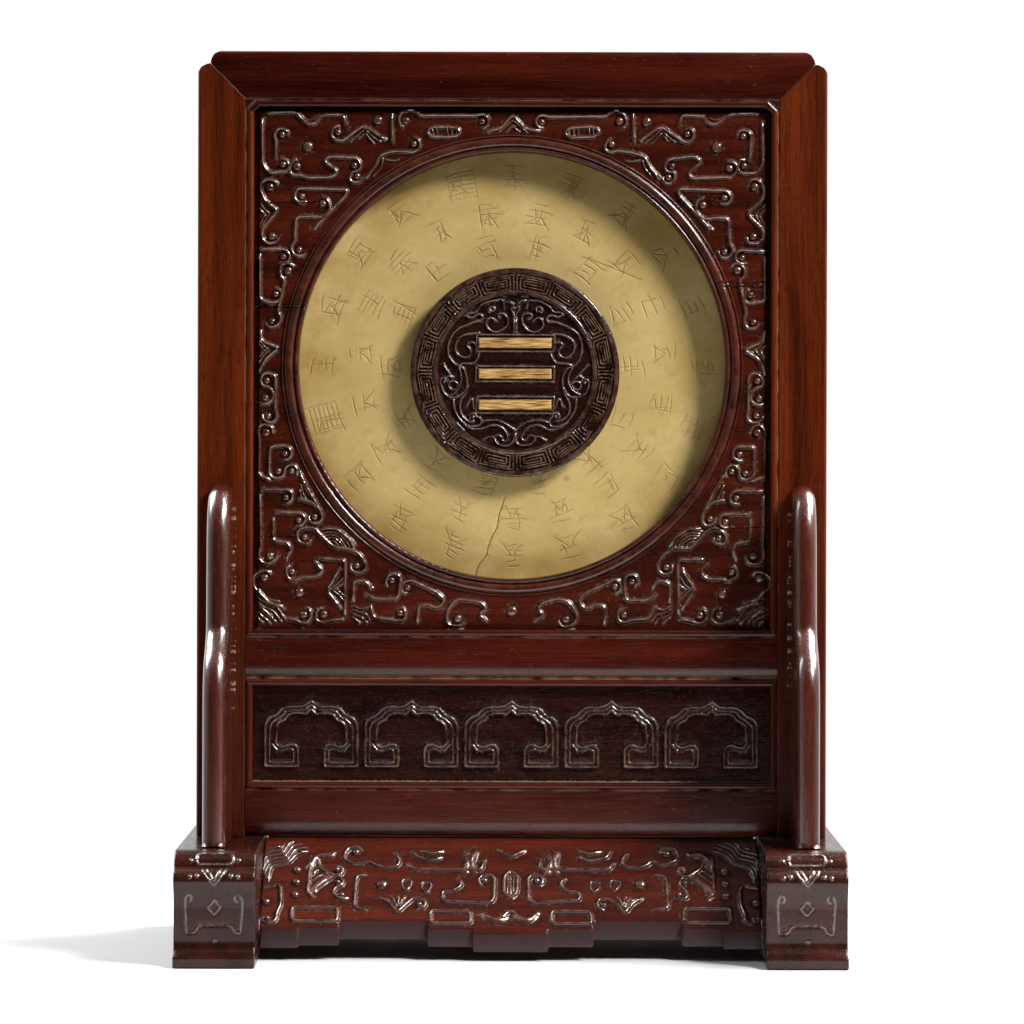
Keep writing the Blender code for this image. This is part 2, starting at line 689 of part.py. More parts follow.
def boss(wood):
    """The round boss on the jade: a key-fret border around dragons and three framed bars."""
    relief = Relief()
    turn = 360 / BOSS_SIDES
    loops = []
    rim = [(1.0, -1.2), (0.980, 0.0), (0.950, 0.0), (0.943, -0.8)]
    field_edge = [(0.765, -0.8), (0.750, 0.0), (0.735, -1.4), (0.0, -1.4)]
    levels = [(BOSS_RADIUS * share, BOSS_STEP * rise) for share, rise in rim + field_edge]
    for radius, _ in levels[:-1]:
        loops.append(relief.chain(arc(0, 0, radius, radius, 0, 360 - turn, BOSS_SIDES - 1), True))

    def level(point):
        for (r1, h1), (r0, h0) in zip(levels, levels[1:]):
            if r0 - 1e-6 <= point.length <= r1 + 1e-6:
                return h0 + (h1 - h0) * (point.length - r0) / (r1 - r0)
        return levels[0][1]

    relief.levels.append(level)
    fret_low = BOSS_RADIUS * 0.775
    fret_high = BOSS_RADIUS * 0.930
    for i in range(FRET_KEYS):
        path = []
        for across, outwards in fret_key():
            angle = math.radians(90 + 360 / FRET_KEYS * (i + across))
            radius = fret_low + (fret_high - fret_low) * outwards
            path.append((radius * math.cos(angle), radius * math.sin(angle)))
        relief.ridge(path, FINE_HALF_WIDTH, FINE_RISE)
    grid = CARVING_GRID * BOSS_RADIUS / DRAWN_BOSS_RADIUS
    field = levels[6][0] - FINE_HALF_WIDTH * 2

    def clear_of(x, z):
        return math.hypot(x, z) < field

    carve = Scrolls(relief, grid, grid, FINE_HALF_WIDTH, FINE_RISE * 1.4, FINE_RISE * 1.6, clear_of)
    carve.line((47, 56), (37, 61), (30, 68), (17, 70), (7, 71))
    carve.knob(26, 62, 3.2)
    carve.knob(37, 54, 3.4)
    carve.line((43, 47), (57, 44), (65, 35), (65, 21), (59, 9), (51, 2), (48, -9), (51, -23), (55, -34))
    carve.line((55, -38), (51, -45), (43, -49))
    carve.line((59, 29), (57, 17), (49, 14), (45, 21))
    carve.line((72, 9), (64, -3))
    carve.knob(62, -12, 5)
    carve.line((8, 54), (9, 45), (18, 41), (27, 46), (27, 53))
    carve.centre_line((36, -48), (21, -47), (8, -52), (0, -58))
    carve.line((30, -67), (21, -64), (9, -67))
    carve.centre_line((7, 62), (0, 51))
    for middle in (29.5, -1.5, -32.5):
        carve.line((39, middle - 8), (39, middle + 8), (0.5, middle + 8), (0.5, middle - 8), closed=True)
    bm = bmesh.new()
    front = JADE_FRONT - GAP - BOSS_HEIGHT
    centre_z = OPENING_Z - BOSS_DROP
    relief_plate(
        bm,
        relief,
        loops[0],
        [],
        lambda p, h: (BOSS_RIGHT + p.x, front - h, centre_z + p.y),
        lambda p: (BOSS_RIGHT + p.x, JADE_FRONT - GAP, centre_z + p.y),
    )
    return add_object("boss", bm, wood)


def jade_disc(jade):
    bm = bmesh.new()
    turn = 360 / RING_SIDES
    outline = arc(0, 0, JADE_RADIUS, JADE_RADIUS, 0, 360 - turn, RING_SIDES - 1)
    depths = (JADE_FRONT, JADE_BACK)
    prism(bm, outline, lambda a, b, end: (a, depths[end], OPENING_Z + b))
    return add_object("jade_disc", bm, jade)


def back_board(wood):
    """Plain board behind the panel, with a round pocket that holds the jade."""
    relief = Relief()
    half_x = HALF_OPENING - GAP
    low = UPPER_OPENING_Z - OPENING_Z + GAP
    high = UPPER_OPENING_Z + UPPER_OPENING_HEIGHT - OPENING_Z - GAP
    border = relief.chain([(-half_x, low), (half_x, low), (half_x, high), (-half_x, high)], True)
    turn = 360 / RING_SIDES
    radius = JADE_RADIUS + GAP
    pocket = relief.chain(arc(0, 0, radius, radius, 0, 360 - turn, RING_SIDES - 1), True)
    front = JADE_FRONT
    back = front + BACK_BOARD_THICKNESS
    floor = JADE_BACK + GAP
    bm = bmesh.new()
    outline = [relief.points[i] for i in pocket]
    edge = [relief.points[i] for i in border]
    corners, faces, ended = relief.triangles(lambda p: inside(edge, p) and not inside(outline, p))
    verts = [bm.verts.new((p.x, front, OPENING_Z + p.y)) for p in corners]
    for face in faces:
        bm.faces.new([verts[i] for i in face])
    rim = [verts[ended[i]] for i in pocket]
    deep = [bm.verts.new((p.x, floor, OPENING_Z + p.y)) for p in outline]
    for i, corner in enumerate(rim):
        j = (i + 1) % len(rim)
        bm.faces.new((corner, rim[j], deep[j], deep[i]))
    bm.faces.new(deep)
    outer = [verts[ended[i]] for i in border]
    rear = [bm.verts.new((p.x, back, OPENING_Z + p.y)) for p in edge]
    for i, corner in enumerate(outer):
        j = (i + 1) % len(outer)
        bm.faces.new((corner, outer[j], rear[j], rear[i]))
    bm.faces.new(rear[::-1])
    return add_object("back_board", bm, wood)


def foot_profile():
    """Side view of the front half of a foot, as (distance ahead of the middle, height)."""
    reach = FOOT_REACH
    face = reach - FOOT_COVE
    toe = [(reach - TOE_ROUND, 0.0), (reach, TOE_ROUND), (reach, TOE_HEIGHT)]
    cove = arc(reach, TOE_HEIGHT + FOOT_COVE, FOOT_COVE, FOOT_COVE, 270, 180, 3)[1:]
    roll = arc(face, FOOT_ROLL_Z, FOOT_ROLL * 0.75, FOOT_ROLL, -60, 75, 4)
    head_centre = (face + FOOT_HEAD - FOOT_HEAD_SETBACK - FOOT_HEAD, FOOT_HEIGHT - FOOT_HEAD)
    head = arc(*head_centre, FOOT_HEAD, FOOT_HEAD, 0, 90, 3)
    return toe + cove + [(face, FOOT_FACE_TOP), (face, FOOT_NECK)] + roll + head


def foot(side, wood):
    """A shoe foot: one long block with a moulded toe at each end, carved on the front."""
    name = "foot_left" if side < 0 else "foot_right"
    profile = foot_profile()
    outline = [(-y, z) for y, z in profile] + [(y, z) for y, z in reversed(profile)]
    heights = [z for _, z in profile]
    face_low = 5
    face_high = 6
    low, high = heights[face_low], heights[face_high]
    centre = side * (FOOT_OUTER + FOOT_INNER) / 2
    half = FOOT_WIDTH / 2
    bm = bmesh.new()
    rows = [[bm.verts.new((centre + x, y, z)) for y, z in outline] for x in (-half, half)]
    for i in range(len(outline)):
        j = (i + 1) % len(outline)
        if i != face_low:
            bm.faces.new((rows[0][i], rows[0][j], rows[1][j], rows[1][i]))
    bm.faces.new(rows[0])
    bm.faces.new(rows[1][::-1])
    relief = Relief()
    border = relief.chain([(-half, low), (half, low), (half, high), (-half, high)], True)
    grid_z = (high - low) / FOOT_FACE_UNITS[1]
    unit = FOOT_WIDTH / FOOT_FACE_UNITS[0]

    def clear_of(x, z):
        return abs(x) < half

    carve = Scrolls(relief, unit, grid_z, FINE_HALF_WIDTH, FINE_RISE, FINE_RISE, clear_of)
    base = low / grid_z
    hook = [(9, 12), (10, 9), (9.6, 2), (6.8, 2.4), (5.9, 4.6)]
    carve.centre_line(*[(x, base + z) for x, z in hook])
    carve.line((0.2, base + 8.0), (2.6, base + 9.8), (0.2, base + 11.6))
    face = outline[face_low][0]
    corners, faces, ended = relief.triangles(lambda p: abs(p.x) < half and low < p.y < high)
    corner_verts = (rows[0][face_low], rows[1][face_low], rows[1][face_high], rows[0][face_high])
    known = {ended[i]: vert for i, vert in zip(border, corner_verts)}
    verts = []
    for i, p in enumerate(corners):
        verts.append(known.get(i) or bm.verts.new((centre + p.x, face - relief.height(p), p.y)))
    for triangle in faces:
        bm.faces.new([verts[i] for i in triangle])
    return add_object(name, bm, wood)


def bracket(side, front, wood):
    """A standing bracket: a board on edge with two lobes, propping a stile."""
    name = f"bracket_{'front' if front < 0 else 'back'}_{'left' if side < 0 else 'right'}"
    base = FOOT_HEIGHT + GAP
    waist = base + BRACKET_SHOULDER
    top = base + BRACKET_HEIGHT
    neck = BRACKET_WAIST + BRACKET_NECK
    head_low = top - BRACKET_HEAD_STEP - BRACKET_UPPER_LOBE
    lower = arc(neck, waist, BRACKET_REACH - neck, BRACKET_LOWER_LOBE, 0, 80, 6)
    upper = arc(BRACKET_HEAD, head_low, BRACKET_WAIST - BRACKET_HEAD, BRACKET_UPPER_LOBE, 0, 90, 6)
    turn = (BRACKET_WAIST, waist + BRACKET_LOWER_LOBE + BRACKET_NECK)
    outline = [(0.0, base), (BRACKET_REACH, base), *lower, turn, *upper, (0.0, top)]
    centre = side * BRACKET_CENTRE
    half = BRACKET_THICKNESS / 2
    bm = bmesh.new()
    prism(
        bm,
        outline,
        lambda a, b, end: (centre + (2 * end - 1) * half, front * (BACK + GAP + a), b),
    )
    return add_object(name, bm, wood)


def carve_apron(carve):
    """Scrolls on the sloping apron, measured down from its top edge."""
    carve.line((244, -41), (241, -31), (231, -28), (222, -26), (218, -19), (206, -14))
    carve.line((243, -49), (232, -48), (229, -54), (229, -68), (233, -78))
    for z in (-34, -46, -58):
        carve.knob(215, z, 4.5)
        carve.knob(174 if z > -58 else 168, z, 4.5)
    carve.knob(244, -65, 4.5)
    carve.knob(241, -82, 4.5)
    carve.line((218, -71), (172, -71), (172, -85), (218, -85), closed=True)
    carve.line((202, -20), (203, -57), (197, -61))
    carve.line((196, -22), (190, -32), (181, -38))
    carve.line((196, -55), (192, -49), (183, -43))
    carve.knob(157, -16, 6)
    carve.line((164, -25), (153, -28), (143, -24), (134, -30), (124, -31), (114, -30), (111, -24), (116, -17))
    carve.line((146, -38), (155, -40), (156, -71), (144, -73))
    carve.knob(129, -47, 6)
    carve.knob(104, -52, 6)
    carve.knob(84, -54, 6)
    carve.line((103, -27), (99, -33), (29, -33), (28, -23))
    carve.line((129, -62), (118, -72), (112, -70), (102, -65))
    carve.knob(92, -68)
    carve.line((90, -14), (78, -18), (69, -14))
    carve.line((80, -74), (40, -74), (40, -86), (80, -86), closed=True)
    carve.line((53, -42), (49, -48), (58, -55), (69, -55), (68, -64), (22, -66), (17, -63), (17, -42))
    carve.knob(26, -44)
    carve.line((0.5, -34), (7, -39), (7, -56), (0.5, -61))
    carve.centre_line((13, -13), (0, -21))
    carve.centre_line((27, -77), (20, -83), (9, -81), (0, -73))


def apron(front, wood):
    """A sloping apron between the feet, its lower edge cut in steps. Only the front is carved."""
    relief = Relief()
    half = FOOT_INNER - GAP
    slope = math.hypot(APRON_RUN, APRON_DROP)
    grid_x = CARVING_GRID * half * 2 / DRAWN_APRON_WIDTH
    grid_z = slope / DRAWN_APRON_UNITS
    shoulders = [(210, 93), (210, 90.5), (170, 90.5), (170, 84)]
    middle = [(82, 84), (82, 91.5), (37, 91.5), (37, DRAWN_APRON_UNITS)]
    right = [(half, 0.0), (half, -shoulders[0][1] * grid_z)]
    right += [(x * grid_x, -v * grid_z) for x, v in shoulders + middle]
    outline = right + mirrored(right)[::-1]
    border = relief.chain(outline, True)
    ahead = APRON_RUN / slope
    down = APRON_DROP / slope

    def clear_of(x, z):
        return abs(x) < half - RIDGE_HALF_WIDTH * 2

    if front < 0:
        carve_apron(Scrolls(relief, grid_x, grid_z, RIDGE_HALF_WIDTH, RIDGE_RISE, KNOB_RISE, clear_of))

    def place_front(p, h):
        out = APRON_TOP_Y - p.y * ahead + h * down
        return (p.x, front * out, FOOT_HEIGHT + p.y * down + h * ahead)

    def place_back(p):
        out = APRON_TOP_Y - p.y * ahead
        return (p.x, front * out, FOOT_HEIGHT + p.y * down - APRON_THICKNESS)

    bm = bmesh.new()
    relief_plate(bm, relief, border, [], place_front, place_back)
    return add_object("apron_front" if front < 0 else "apron_back", bm, wood)


def build():
    clear_scene()
    wood = plain_material("polished_wood", WOOD_COLOUR, 0.32)
    jade = plain_material("celadon_jade", JADE_COLOUR, 0.30)
    for side in (-1, 1):
        foot(side, wood)
        stile(side, wood)
        for front in (-1, 1):
            bracket(side, front, wood)
    rail("top_rail", TOP_RAIL_Z, 1, TOP_RAIL_HEIGHT, False, [(TOP_RAIL_Z, 1)], True, wood)
    middle_beads = [(UPPER_OPENING_Z, -1), (MIDDLE_RAIL_Z, 1)]
    rail("middle_rail", UPPER_OPENING_Z, -1, MIDDLE_RAIL_HEIGHT, True, middle_beads, False, wood)
    bottom_beads = [(LOWER_OPENING_Z, -1)]
    rail("bottom_rail", LOWER_OPENING_Z, -1, BOTTOM_RAIL_HEIGHT, True, bottom_beads, False, wood)
    carved_panel(wood)
    lower_panel(wood)
    boss(wood)
    jade_disc(jade)
    back_board(wood)
    apron(-1, wood)
    apron(1, wood)


build()
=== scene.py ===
"""Looks of the carved table screen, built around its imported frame. Metres, +Z up, front towards -Y."""

import math

import bmesh
import bpy
import numpy as np
from mathutils import Matrix, Vector
from mathutils.geometry import delaunay_2d_cdt


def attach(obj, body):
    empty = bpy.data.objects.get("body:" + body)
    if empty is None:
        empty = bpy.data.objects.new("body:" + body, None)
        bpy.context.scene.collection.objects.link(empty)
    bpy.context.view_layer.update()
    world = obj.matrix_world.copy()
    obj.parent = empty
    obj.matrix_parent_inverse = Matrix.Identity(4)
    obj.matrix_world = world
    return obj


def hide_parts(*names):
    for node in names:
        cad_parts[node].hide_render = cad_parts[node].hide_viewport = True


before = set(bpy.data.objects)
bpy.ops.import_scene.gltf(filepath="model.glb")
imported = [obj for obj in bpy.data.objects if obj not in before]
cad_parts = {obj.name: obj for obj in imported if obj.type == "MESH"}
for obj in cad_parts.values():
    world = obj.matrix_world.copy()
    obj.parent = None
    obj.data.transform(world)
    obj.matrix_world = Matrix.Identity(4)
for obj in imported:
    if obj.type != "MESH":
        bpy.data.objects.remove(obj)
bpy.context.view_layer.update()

# The studio: a white table top that fades into a white backdrop, a small lamp high in front on the
# right, and two broad soft ones behind the screen. The lens is long and level, as in the photograph.
LENS = 140.3
EYE_DISTANCE = 1.407
EYE_HEIGHT = 0.1801
FRAME_RISE = -0.0752
CAMERA_ROLL = math.radians(0.15)

camera_data = bpy.data.cameras.new("camera")
camera_data.lens = LENS
camera_data.sensor_width = 36.0
camera_data.shift_y = FRAME_RISE
camera_data.clip_end = 30.0
camera = bpy.data.objects.new("camera", camera_data)
camera.matrix_world = (
    Matrix.Translation((0.0, -EYE_DISTANCE, EYE_HEIGHT))
    @ Matrix.Rotation(math.radians(90), 4, "X")
    @ Matrix.Rotation(CAMERA_ROLL, 4, "Z")
)
bpy.context.scene.collection.objects.link(camera)
bpy.context.scene.camera = camera
bpy.context.scene.view_settings.view_transform = "Standard"


def fed(tree, node, inputs):
    """Gives a node its inputs: plain values, or the output sockets that feed them."""
    for name, value in inputs.items():
        if isinstance(value, bpy.types.NodeSocket):
            tree.links.new(value, node.inputs[name])
        else:
            node.inputs[name].default_value = value


def put(tree, kind, inputs=None, **settings):
    """Adds a shader node, set up and fed."""
    node = tree.nodes.new(kind)
    for name, value in settings.items():
        setattr(node, name, value)
    fed(tree, node, inputs or {})
    return node


def worked(tree, kind, *values):
    """The result of a sum on numbers or sockets, such as ADD."""
    return put(tree, "ShaderNodeMath", dict(enumerate(values)), operation=kind).outputs["Value"]


def ranged(tree, value, low, high, to_low=0.0, to_high=1.0, **settings):
    """A value moved from one range to another, and held at its ends."""
    inputs = {"Value": value, "From Min": low, "From Max": high, "To Min": to_low, "To Max": to_high}
    return put(tree, "ShaderNodeMapRange", inputs, **settings).outputs["Result"]


def vector(tree, kind, *values):
    """A node for a sum on vectors."""
    return put(tree, "ShaderNodeVectorMath", dict(enumerate(values)), operation=kind).outputs


def noise(tree, place, scale, detail=2.0, roughness=0.5):
    inputs = {"Vector": place, "Scale": scale, "Detail": detail, "Roughness": roughness}
    return put(tree, "ShaderNodeTexNoise", inputs).outputs["Fac"]


def object_place(tree):
    return put(tree, "ShaderNodeTexCoord").outputs["Object"]


def softbox(name, place, aim, width, height, power, colour=(1.0, 1.0, 1.0)):
    data = bpy.data.lights.new(name, "AREA")
    data.shape = "RECTANGLE"
    data.size = width
    data.size_y = height
    data.energy = power
    data.color = colour
    lamp = bpy.data.objects.new(name, data)
    lamp.location = place
    lamp.rotation_euler = (Vector(aim) - Vector(place)).to_track_quat("-Z", "Y").to_euler()
    bpy.context.scene.collection.objects.link(lamp)


softbox("key_lamp", (0.855, -0.57, 1.0), (0.0, 0.0, 0.18), 0.30, 0.30, 24.0, (1.0, 0.98, 0.95))
softbox("right_lamp", (0.95, 0.20, 1.15), (0.0, 0.0, 0.0), 0.75, 0.85, 62.0)
softbox("left_lamp", (-1.05, 0.35, 1.05), (0.0, 0.0, 0.0), 0.8, 0.9, 26.0)

world = bpy.data.worlds.new("white_room")
bpy.context.scene.world = world
world.use_nodes = True
sky = world.node_tree
sky.nodes.clear()
towards = put(sky, "ShaderNodeSeparateXYZ", {"Vector": put(sky, "ShaderNodeTexCoord").outputs["Generated"]})
towards = towards.outputs["Y"]
around, behind = ranged(sky, towards, -0.75, -0.25, 0.02, 0.38), ranged(sky, towards, 0.1, 0.6, 0.0, 0.55)
seen = put(sky, "ShaderNodeLightPath").outputs["Is Camera Ray"]
lit = {"Factor": seen, "A": worked(sky, "ADD", around, behind), "B": 1.0}
strength = put(sky, "ShaderNodeMix", lit, data_type="FLOAT").outputs["Result"]
backdrop = put(sky, "ShaderNodeBackground", {"Color": (1, 1, 1, 1), "Strength": strength})
put(sky, "ShaderNodeOutputWorld", {"Surface": backdrop.outputs["Background"]})

TABLE_TOP_RADIUS = 1.3
floor_mesh = bpy.data.meshes.new("table_top")
bm = bmesh.new()
bmesh.ops.create_circle(bm, cap_ends=True, segments=96, radius=TABLE_TOP_RADIUS)
bm.to_mesh(floor_mesh)
bm.free()
table_top = bpy.data.objects.new("table_top", floor_mesh)
bpy.context.scene.collection.objects.link(table_top)
pale = bpy.data.materials.new("pale_table")
pale.use_nodes = True
tree = pale.node_tree
tree.nodes.clear()
where = object_place(tree)
from_middle = vector(tree, "LENGTH", where)["Value"]
fade = ranged(tree, from_middle, 0.21, 0.30, 1.0, 0.0, interpolation_type="SMOOTHSTEP")
tone = ranged(tree, noise(tree, where, 40.0, 3.0), 0.0, 1.0, 0.60, 0.64)
surface = {"Base Color": tone, "Roughness": 0.8, "Specular IOR Level": 0.2}
paint = put(tree, "ShaderNodeBsdfPrincipled", surface)
clear = put(tree, "ShaderNodeBsdfTransparent").outputs["BSDF"]
blend = put(tree, "ShaderNodeMixShader", {"Fac": fade, 1: clear, 2: paint.outputs["BSDF"]})
put(tree, "ShaderNodeOutputMaterial", {"Surface": blend.outputs["Shader"]})
floor_mesh.materials.append(pale)

# The feet: two long blocks of dense red-brown hardwood, waxed. Each toe is moulded with a rolled head,
# a flat face and a cove over a plinth, and the front one has low carving.
FOOT_CENTRE_X = 0.1002
FOOT_HALF_WIDTH = 0.01385
FOOT_HEIGHT = 0.0390
FOOT_REACH = 0.0630


def mixed(tree, factor, first, second):
    """The colour between two colours."""
    return put(tree, "ShaderNodeMix", {0: factor, 6: first, 7: second}, data_type="RGBA").outputs[2]


def times(tree, first, second):
    return worked(tree, "MULTIPLY", first, second)


def more(tree, value, by, added):
    return worked(tree, "MULTIPLY_ADD", value, by, added)


def new_group(name, inputs, outputs):
    """A shader node group with named sockets: the group, its given sockets and those it makes.

    Each input is stated as its kind, or as the value that it has where a material gives none.
    """
    group = bpy.data.node_groups.new(name, "ShaderNodeTree")
    for socket, value in inputs.items():
        kind = value if isinstance(value, str) else "Color" if isinstance(value, tuple) else "Float"
        made = group.interface.new_socket(socket, in_out="INPUT", socket_type="NodeSocket" + kind)
        if kind != value:
            made.default_value = value
    for socket, kind in outputs.items():
        group.interface.new_socket(socket, in_out="OUTPUT", socket_type="NodeSocket" + kind)
    return group, group.nodes.new("NodeGroupInput").outputs, group.nodes.new("NodeGroupOutput")


def streaks(tree, along, length, width, detail):
    """Noise drawn out along X, in streaks about this long and this wide in metres."""
    drawn = vector(tree, "MULTIPLY", along, (1 / length, 1 / width, 1 / width))["Vector"]
    return noise(tree, drawn, 1.0, detail)


# Grain: fibres, broader bands of colour and fine open pores, drawn out along the group's X.
tree, given, made = new_group(
    "wood_grain", {"Along": "Vector", "Dark": "Color", "Light": "Color", "Pores": 0.6},
    {"Color": "Color", "Fibre": "Float", "Pore": "Float"},
)
grain_group = tree
waves = {"Vector": given["Along"], "Scale": 14.0, "Detail": 1.0}
drift = put(tree, "ShaderNodeTexNoise", waves).outputs["Color"]
bend = vector(tree, "MULTIPLY", drift, (0.0, 0.005, 0.005))["Vector"]
flow = vector(tree, "ADD", given["Along"], bend)["Vector"]
bands = ranged(tree, streaks(tree, flow, 0.16, 0.0075, 3.0), 0.34, 0.68)
fibres = ranged(tree, streaks(tree, flow, 0.018, 0.0007, 2.0), 0.3, 0.7)
pores = ranged(tree, streaks(tree, flow, 0.0042, 0.00028, 0.0), 0.66, 0.74)
specks = ranged(tree, streaks(tree, flow, 0.0016, 0.00030, 1.0), 0.72, 0.78, 0.0, 0.35)
pored = times(tree, pores, given["Pores"])
tint = mixed(tree, more(tree, fibres, 0.36, more(tree, bands, 0.84, -0.10)), given["Dark"], given["Light"])
tint = mixed(tree, pored, tint, (0.010, 0.002, 0.001, 1))
fed(tree, made, {"Color": mixed(tree, specks, tint, (0.30, 0.17, 0.10, 1)), "Fibre": fibres, "Pore": pored})

# Edge wear: where a face turns away sharply, handling has rubbed it paler. Dust settles in corners.
tree, given, made = new_group(
    "edge_wear", {
        "Color": "Color", "Worn": (0.17, 0.065, 0.035, 1), "Radius": 0.0006, "Amount": 0.5, "Corners": 0.7,
        "Place": "Vector",
    },
    {"Color": "Color", "Edge": "Float", "Normal": "Vector"},
)
edge_group = tree
turned = put(tree, "ShaderNodeBevel", {"Radius": given["Radius"]}, samples=4).outputs["Normal"]
facing = vector(tree, "DOT_PRODUCT", turned, put(tree, "ShaderNodeNewGeometry").outputs["Normal"])["Value"]
patches = noise(tree, given["Place"], 170.0, 4.0)
edge = times(tree, ranged(tree, facing, 0.995, 0.85), ranged(tree, patches, 0.42, 0.66))
edge = times(tree, edge, given["Amount"])
corner = put(tree, "ShaderNodeAmbientOcclusion", {"Distance": 0.0016}, samples=6, only_local=True)
settled = ranged(tree, corner.outputs["AO"], 0.80, 0.52)
settled = times(tree, settled, ranged(tree, patches, 0.36, 0.58))
settled = times(tree, settled, given["Corners"])
tint = mixed(tree, settled, mixed(tree, edge, given["Color"], given["Worn"]), (0.40, 0.27, 0.17, 1))
fed(tree, made, {"Color": tint, "Edge": edge, "Normal": turned})

# Carving wear: crests rubbed paler, pale dust and dark wax left beside them.
tree, given, made = new_group(
    "carving_wear", {
        "Color": "Color", "Place": "Vector", "Crest": 0.0, "Hollow": 0.0, "Caked": 0.0, "Sunk": 0.0,
        "Worn": (0.25, 0.135, 0.088, 1), "Dust": (0.42, 0.30, 0.21, 1), "Dustiness": 0.5, "Wax": 0.5,
    },
    {"Color": "Color", "Dusty": "Float"},
)
carving_group = tree
patches = noise(tree, given["Place"], 330.0, 5.0)
rubbed = times(tree, times(tree, given["Crest"], ranged(tree, patches, 0.35, 0.7)), 0.65)
clumps = noise(tree, given["Place"], 900.0, 3.0)
areas = noise(tree, given["Place"], 60.0, 2.0)
grit = times(tree, ranged(tree, clumps, 0.52, 0.66), ranged(tree, areas, 0.38, 0.66))
chips = ranged(tree, streaks(tree, given["Place"], 0.0022, 0.00024, 0.0), 0.70, 0.76)
grit = times(tree, grit, ranged(tree, given["Hollow"], 0.1, 0.7))
grit = times(tree, worked(tree, "ADD", grit, times(tree, chips, 0.14)), given["Dustiness"])
caked = ranged(tree, worked(tree, "ADD", given["Caked"], clumps), 0.95, 1.2)
grit = worked(tree, "MAXIMUM", grit, times(tree, caked, 0.85))
tint = mixed(tree, times(tree, given["Hollow"], given["Wax"]), given["Color"], (0.012, 0.003, 0.002, 1))
tint = mixed(tree, grit, mixed(tree, rubbed, tint, given["Worn"]), given["Dust"])
# Where the mesh is marked sunk, the colour goes nearly black: painted shade in a sunk margin, and the dark of
# open splits.
fed(tree, made, {"Color": mixed(tree, given["Sunk"], tint, (0.006, 0.0015, 0.001, 1)), "Dusty": grit})

GRAIN_TURNS = {"x": (0.0, 0.0, 0.0), "y": (0.0, 0.0, -math.pi / 2), "z": (0.0, math.pi / 2, 0.0)}


def wood(name, grain, shift, dark, light, roughness=0.30, carved=False, dustiness=0.5, wax=0.5, polish=0.32,
         haze=0.10):
    """Waxed hardwood with its grain along x, y or z, worn at its edges or on its carving."""
    material = bpy.data.materials.new(name)
    material.use_nodes = True
    tree = material.node_tree
    shader = tree.nodes["Principled BSDF"]
    laid = {"Vector": object_place(tree), "Location": shift, "Rotation": GRAIN_TURNS[grain]}
    turned = put(tree, "ShaderNodeMapping", laid).outputs["Vector"]
    figure = {"Along": turned, "Dark": (*dark, 1), "Light": (*light, 1)}
    figure = put(tree, "ShaderNodeGroup", figure, node_tree=grain_group).outputs
    rough = more(tree, figure["Fibre"], 0.08, roughness - 0.04)
    bump = {"Height": more(tree, figure["Fibre"], 0.25, times(tree, figure["Pore"], -1.0))}
    worn = {"Color": figure["Color"], "Place": turned}
    if carved:
        for socket in ("Crest", "Hollow", "Caked", "Sunk"):
            worn[socket] = put(tree, "ShaderNodeAttribute", attribute_name=socket.lower()).outputs["Fac"]
        worn |= {"Dustiness": dustiness, "Wax": wax}
        wear = put(tree, "ShaderNodeGroup", worn, node_tree=carving_group).outputs
        rough = more(tree, wear["Dusty"], 0.35, rough)
        raised = worked(tree, "MINIMUM", worn["Crest"], 1.0)
        gloss, coat = more(tree, raised, 0.6, polish), more(tree, raised, 0.9, 0.05)
    else:
        wear = put(tree, "ShaderNodeGroup", worn | {"Amount": dustiness}, node_tree=edge_group).outputs
        rough = more(tree, wear["Edge"], 0.2, rough)
        gloss, coat = polish, max(0.0, (polish - 0.25) * 2)
        bump["Normal"] = wear["Normal"]
    bump = put(tree, "ShaderNodeBump", bump | {"Strength": 0.5, "Distance": 0.00006}).outputs["Normal"]
    fed(tree, shader, {
        "Base Color": wear["Color"], "Roughness": rough, "Normal": bump, "Specular IOR Level": gloss,
        "Coat Weight": coat, "Coat Roughness": haze,
    })
    return material


def fitted(obj, material, slot, *nodes):
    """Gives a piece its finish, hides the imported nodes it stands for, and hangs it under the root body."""
    obj.data.materials.clear()
    obj.data.materials.append(material)
    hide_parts(*nodes)
    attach(obj, "root")


def shown(name, mesh, sharp=40):
    """Puts a mesh into the scene, smooth but for its sharp edges."""
    mesh.shade_smooth()
    mesh.set_sharp_from_angle(angle=math.radians(sharp))
    obj = bpy.data.objects.new(name, mesh)
    bpy.context.scene.collection.objects.link(obj)
    return obj


def rounded(points, radius, closed=False):
    """A path with its corners rounded off, none more than this far from the corner."""
    corners = [np.array(point, float) for point in points]
    count = len(corners)
    path = [] if closed else [corners[0]]
    for i in range(count) if closed else range(1, count - 1):
        here = corners[i]
        back = corners[i - 1] - here
        on = corners[(i + 1) % count] - here
        back_length = max(np.linalg.norm(back), 1e-9)
        on_length = max(np.linalg.norm(on), 1e-9)
        start = here + back / back_length * min(radius, back_length * 0.48)
        end = here + on / on_length * min(radius, on_length * 0.48)
        for t in (0.0, 0.25, 0.5, 0.75, 1.0):
            path.append((1 - t) ** 2 * start + 2 * t * (1 - t) * here + t * t * end)
    if not closed:
        path.append(corners[-1])
    return np.array(path)


def evenly(path, step, closed=False):
    """The same path with points at even steps. A closed path doesn't repeat its first point."""
    path = np.asarray(path, float)
    if closed:
        path = np.vstack([path, path[:1]])
    along = np.concatenate([[0.0], np.cumsum(np.linalg.norm(np.diff(path, axis=0), axis=1))])
    count = max(3, int(round(along[-1] / step)) + 1)
    at = np.linspace(0.0, along[-1], count)
    even = np.stack([np.interp(at, along, path[:, 0]), np.interp(at, along, path[:, 1])], 1)
    return even[:-1] if closed else even


def arc(centre, radius_x, radius_y, start, end, steps):
    """Points along an elliptical arc, with angles in degrees."""
    turn = np.radians(np.linspace(start, end, steps + 1))
    return np.stack([centre[0] + radius_x * np.cos(turn), centre[1] + radius_y * np.sin(turn)], 1)


